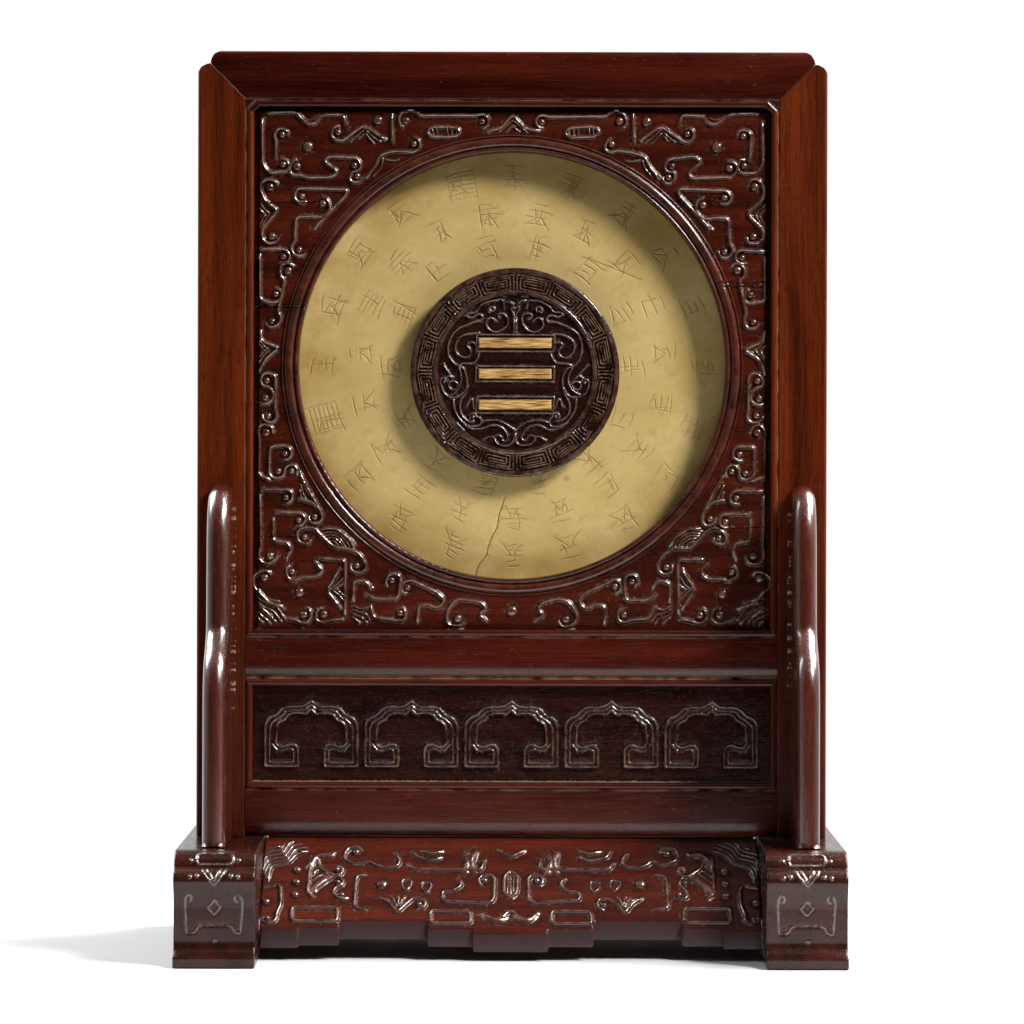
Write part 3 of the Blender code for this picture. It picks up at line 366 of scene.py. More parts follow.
class Carving:
    """Raised lines and buttons on a level ground, in metres, as a knife and scraper leave them."""

    STEP = 0.00036
    CELL = 0.005

    def __init__(self, rows=(0.4, 0.75, 1.05, 1.4, 2.1)):
        self.paths = []
        self.buttons = []
        self.rows = rows

    def line(self, points, width, rise, closed=False, radius=0.0016):
        path = evenly(rounded(points, radius, closed), self.STEP, closed)
        self.paths.append((path, width, rise, closed))

    def button(self, centre, radius, rise):
        self.buttons.append((np.array(centre, float), radius, rise))

    def sheet_points(self):
        """Where the mesh needs points: on each crest, and in rows on either side of it."""
        crests, sides = [], []
        for path, width, _, closed in self.paths:
            crests.append(path)
            if closed:
                ahead = np.roll(path, -1, axis=0) - np.roll(path, 1, axis=0)
            else:
                ahead = np.gradient(path, axis=0)
            across = np.stack([-ahead[:, 1], ahead[:, 0]], 1)
            across /= np.maximum(np.linalg.norm(across, axis=1, keepdims=True), 1e-12)
            for offset in self.rows:
                every = 1 if offset < 2 else 2
                for side in (-1, 1):
                    sides.append(path[::every] + side * across[::every] * offset * width)
        for centre, radius, _ in self.buttons:
            crests.append(centre[None])
            for share in (0.3, 0.55, 0.75, 0.9, 1.02, 1.2, 1.5):
                around = 10 if share < 0.5 else 20
                sides.append(arc(centre, radius * share, radius * share, 0, 360 - 360 / around, around - 1))
        return crests + sides

    def measure(self, points):
        """Height, crest and hollow at each point."""
        starts, ends, widths, rises_a, rises_b = [], [], [], [], []
        for path, width, rise, closed in self.paths:
            a = path
            b = np.roll(path, -1, axis=0)
            rises = np.full(len(path), rise)
            if not closed:
                a, b = path[:-1], path[1:]
                run = np.arange(len(path)) * self.STEP
                end_share = np.clip(np.minimum(run, run[::-1]) / (width * 2.2), 0, 1)
                rises = rise * (0.45 + 0.55 * end_share)
            starts.append(a)
            ends.append(b)
            widths.append(np.full(len(a), width))
            rises_a.append(rises[: len(a)])
            rises_b.append(np.roll(rises, -1)[: len(a)])
        height = np.zeros(len(points))
        crest = np.zeros(len(points))
        near = np.full(len(points), 9.0)
        if starts:
            a, b = np.vstack(starts), np.vstack(ends)
            width = np.concatenate(widths)
            rise_a, rise_b = np.concatenate(rises_a), np.concatenate(rises_b)
            middle = (a + b) / 2
            reach = self.CELL * 0.75 + width.max() * 3.5 + self.STEP
            cells = np.floor(points / self.CELL).astype(int)
            order = np.lexsort((cells[:, 1], cells[:, 0]))
            changes = np.any(np.diff(cells[order], axis=0) != 0, axis=1)
            for group in np.split(order, np.flatnonzero(changes) + 1):
                centre = (cells[group[0]] + 0.5) * self.CELL
                close = np.flatnonzero(np.max(np.abs(middle - centre), axis=1) < reach)
                if not len(close):
                    continue
                along = b[close] - a[close]
                from_start = points[group][:, None] - a[close][None]
                length = np.maximum((along**2).sum(1), 1e-14)
                t = np.clip((from_start * along[None]).sum(2) / length, 0, 1)
                away = np.linalg.norm(from_start - t[:, :, None] * along[None], axis=2) / width[close]
                tall = rise_a[close] + t * (rise_b[close] - rise_a[close])
                shape = np.clip(1 - (away / 1.35) ** 2, 0, 1) ** 2
                height[group] = (tall * shape).max(1)
                crest[group] = np.exp(-((away.min(1) / 0.8) ** 2))
                near[group] = away.min(1)
        depth = 0.30 * np.median([rise for _, _, rise, _ in self.paths]) if self.paths else 0.0
        height -= depth * np.exp(-(((near - 1.5) / 0.7) ** 2))
        hollow = np.exp(-(((near - 1.35) / 0.6) ** 2))
        for centre, radius, rise in self.buttons:
            away = np.linalg.norm(points - centre, axis=1) / radius
            dome = rise * np.clip(1 - away**2, 0, 1) ** 0.7
            height = np.where(away < 1, np.maximum(height, dome), height)
            crest = np.where(away < 1, np.maximum(crest, 1 - away**2), crest)
            ringed = np.exp(-(((away - 1.15) / 0.3) ** 2))
            hollow = np.maximum(hollow, ringed)
            height -= np.where(away >= 1, 0.2 * rise * ringed, 0)
        return height, crest, hollow


def wandering(points, amount=0.00016):
    """Small slips of a hand-guided knife, the same each time."""
    p = np.asarray(points, float)
    x, z = p[:, 0] * 1000, p[:, 1] * 1000
    across = np.sin(x * 0.31 + z * 0.83) + np.sin(z * 0.57)
    up = np.sin(x * 0.47 - z * 0.29) + np.sin(x * 0.9)
    return p + np.stack([across, up], 1) * amount


def paths(text):
    """Points written as pairs, such as 12,-3.5. Each row is a path, and indented lines carry it on."""
    rows = text.strip().replace("\n ", " ").splitlines()
    return [np.array([pair.split(",") for pair in row.split()], float) for row in rows]


def curled(lines, centre, size):
    """Carries the nearest line end on round a button, where one is close. Says whether it did."""
    best = None
    for line in lines:
        for end, before, at_start in ((line[0], line[1], True), (line[-1], line[-2], False)):
            distance = np.linalg.norm(end - centre)
            if distance < size * 3.0 and (best is None or distance < best[0]):
                best = (distance, line, end, before, at_start)
    if best is None:
        return False
    distance, line, end, before, at_start = best
    heading = end - before
    turn = 1 if heading[0] * (centre - end)[1] - heading[1] * (centre - end)[0] > 0 else -1
    angle = math.atan2(*(end - centre)[::-1])
    curl = []
    for i in range(1, 9):
        share = i / 8
        bend = angle + turn * math.radians(215) * share
        out = distance + (size * 1.2 - distance) * min(1.0, share * 1.6)
        curl.append(centre + out * np.array([math.cos(bend), math.sin(bend)]))
    if at_start:
        line[:0] = curl[::-1]
    else:
        line.extend(curl)
    return True


def scrolls(unit, width, rise, button_rise, lines, buttons, closed="", middle="", thin="", thin_closed="",
            leaves=""):
    """Scroll carving drawn on one half of a grid and mirrored. A middle line joins the two halves."""
    unit, flip = np.array(unit), np.array([-1.0, 1.0])
    drawn = [list(row * unit) for row in paths(lines)]
    rounds = []
    for button in buttons.split():
        x, z, radius = (*map(float, button.split(",")), 5.0)[:3]
        centre, size = np.array([x, z]) * unit, radius * unit[0]
        rounds.append((centre, size * (0.72 if curled(drawn, centre, size) else 1.0)))
    carving = Carving()

    def both(halves, wide=1.0, tall=1.0, loop=False):
        for half in halves:
            for copy in (np.array(half), np.array(half) * flip):
                carving.line(wandering(copy), width * wide, rise * tall, loop)

    both(drawn)
    both([row * unit for row in paths(closed)], loop=True)
    for row in paths(middle):
        half = row * unit
        other = (half[:-1] if row[-1][0] == 0 else half) * flip
        carving.line(wandering(np.vstack([half, other[::-1]])), width, rise)
    both([row * unit for row in paths(thin)], 0.55, 0.6)
    both([row * unit for row in paths(thin_closed)], 0.55, 0.6, True)
    both([row * unit for row in paths(leaves)], 1.7, 1.25)
    for centre, radius in rounds:
        for copy in {tuple(centre), tuple(centre * flip)}:
            carving.button(wandering([copy])[0], radius, button_rise)
    return carving


def within(outline, points):
    """Which points lie inside a closed outline."""
    x, y = points[:, 0], points[:, 1]
    crossed = np.zeros(len(points), bool)
    for a, b in zip(outline, np.roll(outline, -1, axis=0)):
        if a[1] != b[1]:
            spans = (a[1] > y) != (b[1] > y)
            crossed ^= spans & (x < a[0] + (y - a[1]) / (b[1] - a[1]) * (b[0] - a[0]))
    return crossed


def sheet(border, hole, rows, spacing, finest=0.00016):
    """Triangles over a flat sheet: its points and its faces."""
    loops = [border] + ([hole] if hole is not None else [])
    low, high = border.min(0), border.max(0)
    across = np.arange(low[0] + spacing * 0.3, high[0], spacing)
    up = np.arange(low[1] + spacing * 0.3, high[1], spacing * 0.87)
    ground = np.stack(np.meshgrid(across, up), -1).reshape(-1, 2)
    ground[:, 0] += spacing * 0.5 * (np.round((ground[:, 1] - low[1]) / (spacing * 0.87)) % 2)
    if len(rows):
        drawn = np.vstack(rows)
        taken = np.unique(np.floor(drawn / 0.0006).astype(np.int64) @ (100003, 1))
        cells = np.floor(ground / 0.0006).astype(np.int64)
        beside = [(cells + step) @ (100003, 1) for step in ((0, 0), (1, 0), (-1, 0), (0, 1), (0, -1))]
        ground = ground[~np.any(np.isin(beside, taken), axis=0)]
        loose = np.vstack([drawn, ground])
    else:
        loose = ground
    loose = loose[within(border, loose)]
    if hole is not None:
        loose = loose[~within(hole, loose)]
    fixed = np.vstack(loops)
    every = np.vstack([fixed, loose])
    keys = np.round(every / finest).astype(np.int64)
    _, first = np.unique(keys[:, 0] * 1000003 + keys[:, 1], return_index=True)
    kept = np.union1d(first, np.arange(len(fixed)))
    every = every[kept]
    edges = []
    start = 0
    for loop in loops:
        size = len(loop)
        edges += [(start + i, start + (i + 1) % size) for i in range(size)]
        start += size
    flat = [Vector(p) for p in every * 1000.0]
    corners, _, faces, _, _, _ = delaunay_2d_cdt(flat, edges, [], 0, 1e-5)
    corners = np.array([c[:] for c in corners]) / 1000.0
    faces = np.array(faces)
    centres = corners[faces].mean(1)
    keep = within(border, centres)
    if hole is not None:
        keep &= ~within(hole, centres)
    return corners, faces[keep]


def carved_board(name, border, hole, rows, spacing, lift, place, place_back, finest=0.00016):
    """A closed board: a carved front, walls at its borders and a plain back. Returns the object."""
    points, faces = sheet(border, hole, rows, spacing, finest)
    height, marks = lift(points)
    first, second, third = (points[faces[:, i]] for i in range(3))
    turned = np.cross(second - first, third - first) < 0
    faces[turned] = faces[turned][:, ::-1]
    edges = np.vstack([faces[:, [0, 1]], faces[:, [1, 2]], faces[:, [2, 0]]])
    size = len(points)
    forward = edges[:, 0] * size + edges[:, 1]
    backward = edges[:, 1] * size + edges[:, 0]
    rim = edges[~np.isin(forward, backward)]
    used = np.unique(rim)
    number = {v: size + i for i, v in enumerate(used)}
    walls = [(b, a, number[a], number[b]) for a, b in rim]
    plain, back_faces = sheet(border, hole, [], 1.0)
    closest = {tuple(np.round(points[v] * 1e7).astype(int)): number[v] for v in used}
    back_index = [closest.get(tuple(np.round(p * 1e7).astype(int))) for p in plain]
    rear = []
    for face in back_faces:
        corners = [back_index[v] for v in face]
        if None not in corners:
            (x0, y0), (x1, y1), (x2, y2) = plain[face]
            rear.append(corners[::-1] if (x1 - x0) * (y2 - y0) > (x2 - x0) * (y1 - y0) else corners)
    front_places = place(points, height)
    back_places = place_back(points[used])
    mesh = bpy.data.meshes.new(name)
    mesh.from_pydata(np.vstack([front_places, back_places]).tolist(), [], faces.tolist() + walls + rear)
    mesh.update()
    for mark, values in marks.items():
        attribute = mesh.attributes.new(mark, "FLOAT", "POINT")
        attribute.data.foreach_set("value", np.concatenate([values, np.zeros(len(used))]).astype(np.float32))
    return shown(name, mesh, 50)


def upright(front, back, x, z):
    """Stands a board upright: the places of its carved front, and those of its plain back."""
    return (
        lambda p, h: np.stack([x + p[:, 0], front - h, z + p[:, 1]], 1),
        lambda p: np.stack([x + p[:, 0], np.full(len(p), back), z + p[:, 1]], 1),
    )


def outward(outline):
    """The direction straight out of a closed outline at each of its points."""
    ahead = np.roll(outline, -1, axis=0) - np.roll(outline, 1, axis=0)
    out = np.stack([ahead[:, 1], -ahead[:, 0]], 1)
    out /= np.maximum(np.linalg.norm(out, axis=1, keepdims=True), 1e-12)
    x, y = outline[:, 0], outline[:, 1]
    area = np.sum(x * np.roll(y, -1) - np.roll(x, -1) * y)
    return out if area > 0 else -out


def board_on_edge(name, outline, pull, half, corner, columns, place, lift=None):
    """A board with this side outline, its two long edges rounded by pulling the outline in."""
    out = outward(outline)
    ring = len(outline)
    turns = np.radians(np.linspace(90, 0, 5 if corner < 0.001 else 10))
    steps = [(half - corner + corner * math.sin(a), corner * (1 - math.cos(a))) for a in turns]
    inner = half - corner
    rows = [(-x, inset) for x, inset in steps]
    rows += [(x, 0.0) for x in np.linspace(-inner, inner, columns)[1:-1]]
    rows += [(x, inset) for x, inset in reversed(steps)]
    verts, crest, hollow = [], [], []
    for x, inset in rows:
        shape = outline - pull * inset
        high = np.zeros(ring)
        marks = (np.zeros(ring), np.zeros(ring))
        if lift is not None:
            high, *marks = lift(x, shape)
        verts.append(place(x, shape + out * high[:, None]))
        crest.append(marks[0])
        hollow.append(marks[1])
    faces = [list(range(ring))[::-1], list(range((len(rows) - 1) * ring, len(rows) * ring))]
    for i in range(len(rows) - 1):
        for j in range(ring):
            k = (j + 1) % ring
            faces.append([i * ring + j, i * ring + k, (i + 1) * ring + k, (i + 1) * ring + j])
    mesh = bpy.data.meshes.new(name)
    mesh.from_pydata(np.vstack(verts).tolist(), [], faces)
    mesh.update()
    for mark, values in (("crest", crest), ("hollow", hollow)):
        attribute = mesh.attributes.new(mark, "FLOAT", "POINT")
        attribute.data.foreach_set("value", np.concatenate(values).astype(np.float32))
    bm = bmesh.new()
    bm.from_mesh(mesh)
    bmesh.ops.recalc_face_normals(bm, faces=bm.faces)
    bm.to_mesh(mesh)
    bm.free()
    return shown(name, mesh)


toe_curve = paths("""
0.0047,0.0200 0.0046,0.0218 0.0041,0.0238 0.0032,0.0258 0.0025,0.0276 0.0023,0.0292 0.0026,0.0307
 0.0034,0.0320 0.0046,0.0329 0.0058,0.0333 0.0062,0.0332 0.0066,0.0337 0.0068,0.0346 0.0075,0.0361
 0.0087,0.0376 0.0102,0.0386 0.0118,0.0390
""")[0]
toe = np.vstack([
    [(0.0, 0.0)],
    arc((FOOT_REACH - 0.0008, 0.0008), 0.0008, 0.0008, -90, 0, 4),
    arc((FOOT_REACH - 0.0005, 0.0035), 0.0005, 0.0005, 0, 90, 3),
    arc((FOOT_REACH, 0.0087), 0.0047, 0.0047, 268, 180, 12),
    toe_curve * (-1, 1) + (FOOT_REACH, 0.0),
])
front_half = evenly(toe, 0.00036)
top_run = np.stack([np.linspace(FOOT_REACH - 0.0120, 0.0, 12), np.full(12, FOOT_HEIGHT)], 1)
front_half = front_half[front_half[:, 0] > FOOT_REACH - 0.0117]
back_half = evenly(toe, 0.0008)
back_half = back_half[back_half[:, 0] > FOOT_REACH - 0.0117]
bottom_run = np.stack([np.linspace(-FOOT_REACH + 0.0120, FOOT_REACH - 0.0120, 12), np.zeros(12)], 1)
foot_side = np.vstack([
    bottom_run, front_half, top_run, top_run[-2::-1] * (-1, 1), back_half[::-1] * (-1, 1)
])

TOE_GRID = 0.000337
toe_carving = Carving()
toe_lines = paths("""
-24,66 -22,70 -25,73 -28.5,71 -29.5,62 -27.8,34 -18.5,35.5 -16.5,42 17.5,42 20.5,35.5 26,33 28.5,66 26,71.5
 22,72 19.5,68 23,65
-6.5,60 0,53 6.5,61 0,67
-7,98 0,87 6.5,98
-12,98 -9,93 0,83 9,93 12,98
-17,112 -19,107 -17,102 17,102 19,107 17,112
""")
for path, width, rise, closed, soft in zip(
    toe_lines, (0.00030, 0.00030, 0.0004, 0.0003, 0.0004), (0.00022, 0.00022, 0.0004, 0.0003, 0.0004),
    (False, True, False, False, True), (0.0010, 0.0002, 0.0002, 0.0002, 0.0010),
):
    toe_carving.line(path * TOE_GRID, width, rise, closed, soft)
for dot in paths("-17,92 17,92 -24,91 24,91 -24,106 24,106 0.5,27")[0]:
    toe_carving.button(dot * TOE_GRID, 0.00075, 0.0004)


def toe_lift(x, shape):
    front = shape[:, 0] > FOOT_REACH - 0.0125
    height, crest, hollow = (np.zeros(len(shape)) for _ in range(3))
    if abs(x) < FOOT_HALF_WIDTH - 0.0007:
        given = np.stack([np.full(front.sum(), x), shape[front, 1]], 1)
        height[front], crest[front], hollow[front] = toe_carving.measure(given)
        height[(shape[:, 1] < 0.0060)] = 0
    return height, crest, hollow


foot_wood = wood(
    "foot_wood", "y", (0.31, 0.07, 0.02), (0.012, 0.002, 0.001), (0.040, 0.007, 0.004), 0.24,
    carved=True, dustiness=0.35, wax=0.5,
)
for side, node in ((-1, "foot_left"), (1, "foot_right")):
    foot = board_on_edge(
        f"{node}_block", foot_side, outward(foot_side), FOOT_HALF_WIDTH, 0.0006, 68,
        lambda x, shape, side=side: np.stack(
            [np.full(len(shape), side * FOOT_CENTRE_X + x), -shape[:, 0], shape[:, 1]], 1
        ),
        toe_lift,
    )
    fitted(foot, foot_wood, "polished_wood", node)

# The standing brackets: hardwood boards on edge, glued to the feet and against the stiles, with two
# lobes in front. All their long edges are rounded over. The back pair repeats the front.
BRACKET_CENTRE_X = 0.10145
BRACKET_HALF_THICKNESS = 0.0040
BRACKET_ROUND = 0.0038
BRACKET_BASE = 0.0393
BRACKET_TOP = 0.1628
BRACKET_FACE = 0.0103
BRACKET_REACH = 0.0375

lobes = evenly(np.vstack([
    [(BRACKET_REACH, 0.0600)],
    arc((0.0240, 0.0883), 0.0135, 0.0200, 0, 72, 14),
    [(0.0222, 0.1130)],
    arc((0.0080, 0.1403), 0.0130, 0.0215, 0, 84, 16),
]), 0.0005)
smoothing = np.hanning(19) / np.hanning(19).sum()
lobes[9:-9] = np.stack([np.convolve(lobes[:, axis], smoothing, "valid") for axis in (0, 1)], 1)
bracket_side = evenly(np.vstack([
    [(0.0, BRACKET_BASE), (BRACKET_REACH, BRACKET_BASE)], lobes,
    [(0.0080, BRACKET_TOP - 0.0010), (0.0, BRACKET_TOP)],
]), 0.0009, True)
pull = outward(bracket_side)
pull[(bracket_side[:, 0] < 0.0004) | (bracket_side[:, 1] < BRACKET_BASE + 0.0004)] = 0
pull[(bracket_side[:, 1] > BRACKET_TOP - 0.0045) & (bracket_side[:, 0] < 0.0024)] = (0, 1)
bracket_wood = wood(
    "bracket_wood", "z", (0.0, 0.11, 0.05), (0.028, 0.003, 0.001), (0.085, 0.011, 0.004), 0.25,
    dustiness=0.25, polish=0.9, haze=0.20,
)
for side, side_name in ((-1, "left"), (1, "right")):
    for front, front_name in ((-1, "front"), (1, "back")):
        bracket = board_on_edge(
            f"bracket_{front_name}_{side_name}_board", bracket_side, pull, BRACKET_HALF_THICKNESS,
            BRACKET_ROUND, 5,
            lambda x, shape, side=side, front=front: np.stack([
                np.full(len(shape), side * BRACKET_CENTRE_X + x),
                front * (BRACKET_FACE + shape[:, 0]), shape[:, 1],
            ], 1),
        )
        fitted(bracket, bracket_wood, "polished_wood", f"bracket_{front_name}_{side_name}")

# The frame: two hardwood stiles mitred to a top rail with notched corners, and two rails between
# them with rounded lower lips. A bead runs round both openings, mitred at its corners and cut
# straight across the two top ones.
HALF_WIDTH = 0.11025
HALF_OPENING = 0.09325
FRONT = -0.0100
BACK = 0.0100
STILE_WIDTH = 0.0170
TOP_RAIL = (0.2975, 0.3144)
MIDDLE_RAIL = (0.0946, 0.1093)
BOTTOM_RAIL = (0.0393, 0.0558)
NOTCH = 0.0044
JOINT_GAP = 0.00005
BEAD_CORNER = 0.0036
CORNER_LEAN = math.tan(math.radians(22.5))
GLUE_X = 0.0970
GLUE_Z = 0.120


def member_section(width, lip):
    front = [(0.0, FRONT + 0.0004), (0.0004, FRONT + 0.0001), (width * 0.45, FRONT)]
    if lip:
        curve = arc((width - 0.0054, FRONT + 0.0026), 0.0054, 0.0026, -90, 0, 16)
    else:
        curve = arc((width - 0.0013, FRONT + 0.0014), 0.0013, 0.0014, -90, 0, 12)
    back = [(width, BACK - 0.0012), (width - 0.0005, BACK - 0.0004), (width - 0.0012, BACK)]
    return np.vstack([front, curve, back, [(0.0010, BACK), (0.0003, BACK - 0.0003), (0.0, BACK - 0.0010)]])


def bead_section():
    """A round bead with a quirk on its inner side, and its root let into the member."""
    top = FRONT - 0.0003
    crown = arc((-0.00135, top + 0.0012), 0.00125, 0.0012, 180, 360, 14)
    root = [(0.0003, FRONT + 0.0016), (0.0003, FRONT + 0.0024)]
    return np.vstack([[(-0.0026, FRONT + 0.0024)], crown, root])


def swept(bm, section, place, cuts):
    """A bar of one section between place(a, b, 0) and place(a, b, 1), cut by planes at its ends."""
    own = bmesh.new()
    low = [own.verts.new(place(a, b, 0)) for a, b in section]
    high = [own.verts.new(place(a, b, 1)) for a, b in section]
    own.faces.new(low)
    own.faces.new(high[::-1])
    for i, corner in enumerate(low):
        j = (i + 1) % len(low)
        own.faces.new((corner, high[i], high[j], low[j]))
    for point, normal in cuts:
        everything = own.verts[:] + own.edges[:] + own.faces[:]
        bmesh.ops.bisect_plane(
            own, geom=everything, plane_co=point, plane_no=normal, clear_outer=True, dist=1e-7
        )
        bmesh.ops.holes_fill(own, edges=[edge for edge in own.edges if edge.is_boundary])
    bmesh.ops.recalc_face_normals(own, faces=own.faces)
    piece = bpy.data.meshes.new("bar")
    own.to_mesh(piece)
    own.free()
    bm.from_mesh(piece)
    bpy.data.meshes.remove(piece)


def plane(x, z, out_x, out_z):
    """A cut through the frame, seen from the front: a point on it, and the way to the waste."""
    return Vector((x, 0, z)), Vector((out_x, 0, out_z))


def corner_bead(bm, side, line):
    """The short slanting bead that turns a top corner, with a fillet that fills in behind it."""
    start = Vector((side * HALF_OPENING, 0, line - BEAD_CORNER))
    along = Vector((-side, 0, 1)).normalized()
    outwards = Vector((side, 0, 1)).normalized()
    length = BEAD_CORNER * math.sqrt(2)
    end_x = side * (HALF_OPENING - BEAD_CORNER - JOINT_GAP)
    section = np.vstack([bead_section()[:-2], [(0.0003, FRONT), (0.0030, FRONT), (0.0030, FRONT + 0.0024)]])
    swept(
        bm, section,
        lambda a, b, end: start + along * (length * (end * 3 - 1)) + outwards * a + Vector((0, b, 0)),
        [
            plane(start.x, start.z + JOINT_GAP, side * CORNER_LEAN, -1),
            plane(end_x, line, -side, CORNER_LEAN),
            plane(start.x, line, side, 0), plane(start.x, line, 0, 1),
        ],
    )


def joined(name, bm):
    mesh = bpy.data.meshes.new(name)
    bm.to_mesh(mesh)
    bm.free()
    return shown(name, mesh, 30)


def lobe_cuts(centre_x, centre_z, side):
    lobe = arc((centre_x, centre_z), NOTCH, NOTCH, 0, 90, 12)
    return [plane(side * a[0], a[1], side * (b[1] - a[1]), a[0] - b[0]) for a, b in zip(lobe, lobe[1:])]


stile_wood = wood(
    "stile_wood", "z", (0.0, 0.02, 0.31), (0.040, 0.005, 0.001), (0.150, 0.023, 0.004), 0.30,
    dustiness=0.5, polish=0.22,
)
rail_wood = wood(
    "rail_wood", "x", (0.13, 0.02, 0.01), (0.019, 0.0012, 0.0007), (0.072, 0.0080, 0.0024), 0.25,
    dustiness=0.5, haze=0.05,
)
tree = stile_wood.node_tree
shader = tree.nodes["Principled BSDF"]
place = object_place(tree)
apart = put(tree, "ShaderNodeSeparateXYZ", {"Vector": place}).outputs


def distance_from(middle, value):
    """How far a coordinate is from this middle, on either side."""
    return worked(stile_wood.node_tree, "ABSOLUTE", worked(stile_wood.node_tree, "SUBTRACT", value, middle))


beside = ranged(tree, distance_from(GLUE_X, worked(tree, "ABSOLUTE", apart["X"])), 0.0006, 0.0002)
glued = times(tree, beside, ranged(tree, distance_from(GLUE_Z, apart["Z"]), 0.038, 0.028))
glued = times(tree, glued, ranged(tree, noise(tree, place, 620.0, 3.0), 0.56, 0.62))
under = shader.inputs["Base Color"].links[0].from_socket
# Painted shade: the stiles' colour is darkened more and more from about 0.17 m down to 0.11 m.
under = mixed(tree, ranged(tree, apart["Z"], 0.17, 0.11, 0.0, 0.6), under, (0.030, 0.004, 0.002, 1))
fed(tree, shader, {"Base Color": mixed(tree, glued, under, (0.50, 0.40, 0.33, 1))})
OPENINGS = ((BOTTOM_RAIL[1], MIDDLE_RAIL[0]), (MIDDLE_RAIL[1], TOP_RAIL[0]))
for side, node in ((-1, "stile_left"), (1, "stile_right")):
    bm = bmesh.new()
    slope = Vector((-side * (TOP_RAIL[1] - TOP_RAIL[0]), 0, STILE_WIDTH)).normalized()
    mitre = (Vector((side * HALF_OPENING, 0, TOP_RAIL[0])) - slope * JOINT_GAP, slope)
    swept(
        bm, member_section(STILE_WIDTH, False),
        lambda a, b, end: (side * (HALF_OPENING + a), b, (BOTTOM_RAIL[0], TOP_RAIL[1])[end]),
        [mitre, *lobe_cuts(HALF_WIDTH - NOTCH, TOP_RAIL[1] - 2 * NOTCH, side)],
    )
    for low, high in OPENINGS:
        inset, lean = (BEAD_CORNER, CORNER_LEAN) if high == TOP_RAIL[0] else (0.0, 1.0)
        x = side * HALF_OPENING
        ends = [plane(x, low + JOINT_GAP, -side, -1), plane(x, high - inset - JOINT_GAP, -side * lean, 1)]
        swept(bm, bead_section(), lambda a, b, end: (x + side * a, b, (low, high)[end]), ends)
    fitted(joined(f"{node}_bar", bm), stile_wood, "polished_wood", node)

RAILS = {
    "top_rail": (TOP_RAIL[0], 1, TOP_RAIL, False, ((TOP_RAIL[0], 1),)),
    "middle_rail": (MIDDLE_RAIL[1], -1, MIDDLE_RAIL, True, ((MIDDLE_RAIL[1], -1), (MIDDLE_RAIL[0], 1))),
    "bottom_rail": (BOTTOM_RAIL[1], -1, BOTTOM_RAIL, True, ((BOTTOM_RAIL[1], -1),)),
}
for node, (edge, up, rail, lip, beads) in RAILS.items():
    height = rail[1] - rail[0]
    bm = bmesh.new()
    cuts = []
    length = HALF_OPENING - JOINT_GAP
    if node == "top_rail":
        length = HALF_WIDTH
        for side in (-1, 1):
            slope = Vector((side * height, 0, -STILE_WIDTH)).normalized()
            cuts.append((Vector((side * HALF_OPENING, 0, TOP_RAIL[0])) - slope * JOINT_GAP, slope))
            cuts += lobe_cuts(HALF_WIDTH - 2 * NOTCH, TOP_RAIL[1] - NOTCH, side)
    swept(bm, member_section(height, lip), lambda a, b, end: ((2 * end - 1) * length, b, edge + up * a), cuts)
    for line, out in beads:
        inset, lean = (BEAD_CORNER, CORNER_LEAN) if node == "top_rail" else (0.0, 1.0)
        ends = [plane(side * (HALF_OPENING - inset - JOINT_GAP), line, side, -out * lean) for side in (-1, 1)]
        swept(bm, bead_section(), lambda a, b, end: ((2 * end - 1) * HALF_OPENING, b, line + out * a), ends)
        if node == "top_rail":
            for side in (-1, 1):
                corner_bead(bm, side, line)
    fitted(joined(f"{node}_bar", bm), rail_wood, "polished_wood", node)

# The jade: a thin disc of yellowish-green stone with faint mottling and brown flecks, laid in
# behind the round opening. Rows of small shallow strokes are cut into it, and it has a crack.
JADE_RADIUS = 0.0790
JADE_FRONT = 0.0005
JADE_BACK = 0.0055
OPENING_Z = 0.2045
GRID = 0.00035

strokes = Carving()
draw = np.random.default_rng(7)
for ring_radius, count, size in ((0.0668, 20, 26), (0.0537, 19, 25), (0.0425, 14, 24)):
    for i in range(count):
        turn = 2 * math.pi * (i + 0.5 * (ring_radius < 0.06)) / count
        out = np.array([math.sin(turn), math.cos(turn)])
        side = np.array([out[1], -out[0]])
        middle = out * ring_radius
        half = size / 2 * GRID

        def spot(u, v):
            return middle + half * (side * u + out * v)

        def cut_in(points, width=0.00026):
            strokes.line([spot(*point) for point in points], width, -0.00018)

        kind = draw.integers(0, 3)
        for row in np.linspace(0.85, -0.75, draw.integers(3, 6)):
            wide = draw.uniform(0.25, 0.85)
            off = draw.uniform(-0.2, 0.2)
            lean = draw.uniform(-0.12, 0.12)
            cut_in([(off - wide, row - lean), (off, row + 0.05), (off + wide, row + lean)], 0.00024)
        for _ in range(draw.integers(1, 4)):
            across, low, high = draw.uniform(-0.7, 0.7), draw.uniform(-1, -0.1), draw.uniform(0.1, 1)
            lean = draw.uniform(-0.3, 0.3)
            cut_in([(across, high), (across + lean * 0.3, (low + high) / 2), (across + lean, low)])
        if kind:
            sweep = draw.uniform(0.5, 0.9)
            cut_in([(0, 0.1), (-sweep * 0.5, -0.5), (-sweep, -0.8)])
            cut_in([(0.1, 0), (sweep * 0.6, -0.45), (sweep, -0.9)])
for x, z, turn in ((-51.5, 182, 10), (-188.5, -53, -74)):
    c, s = math.cos(math.radians(turn)), math.sin(math.radians(turn))
    for row in range(7):
        offset = (row - 3) * 4.6
        for a, b in (((-13, offset), (13, offset)), ((offset, -15), (offset, 15))):
            ends = [((x + c * u - s * v) * GRID, (z + s * u + c * v) * GRID) for u, v in (a, b)]
            if row % 3 == 0 or a[1] == b[1]:
                strokes.line(ends, 0.0002, -0.00012)
crack = Carving()
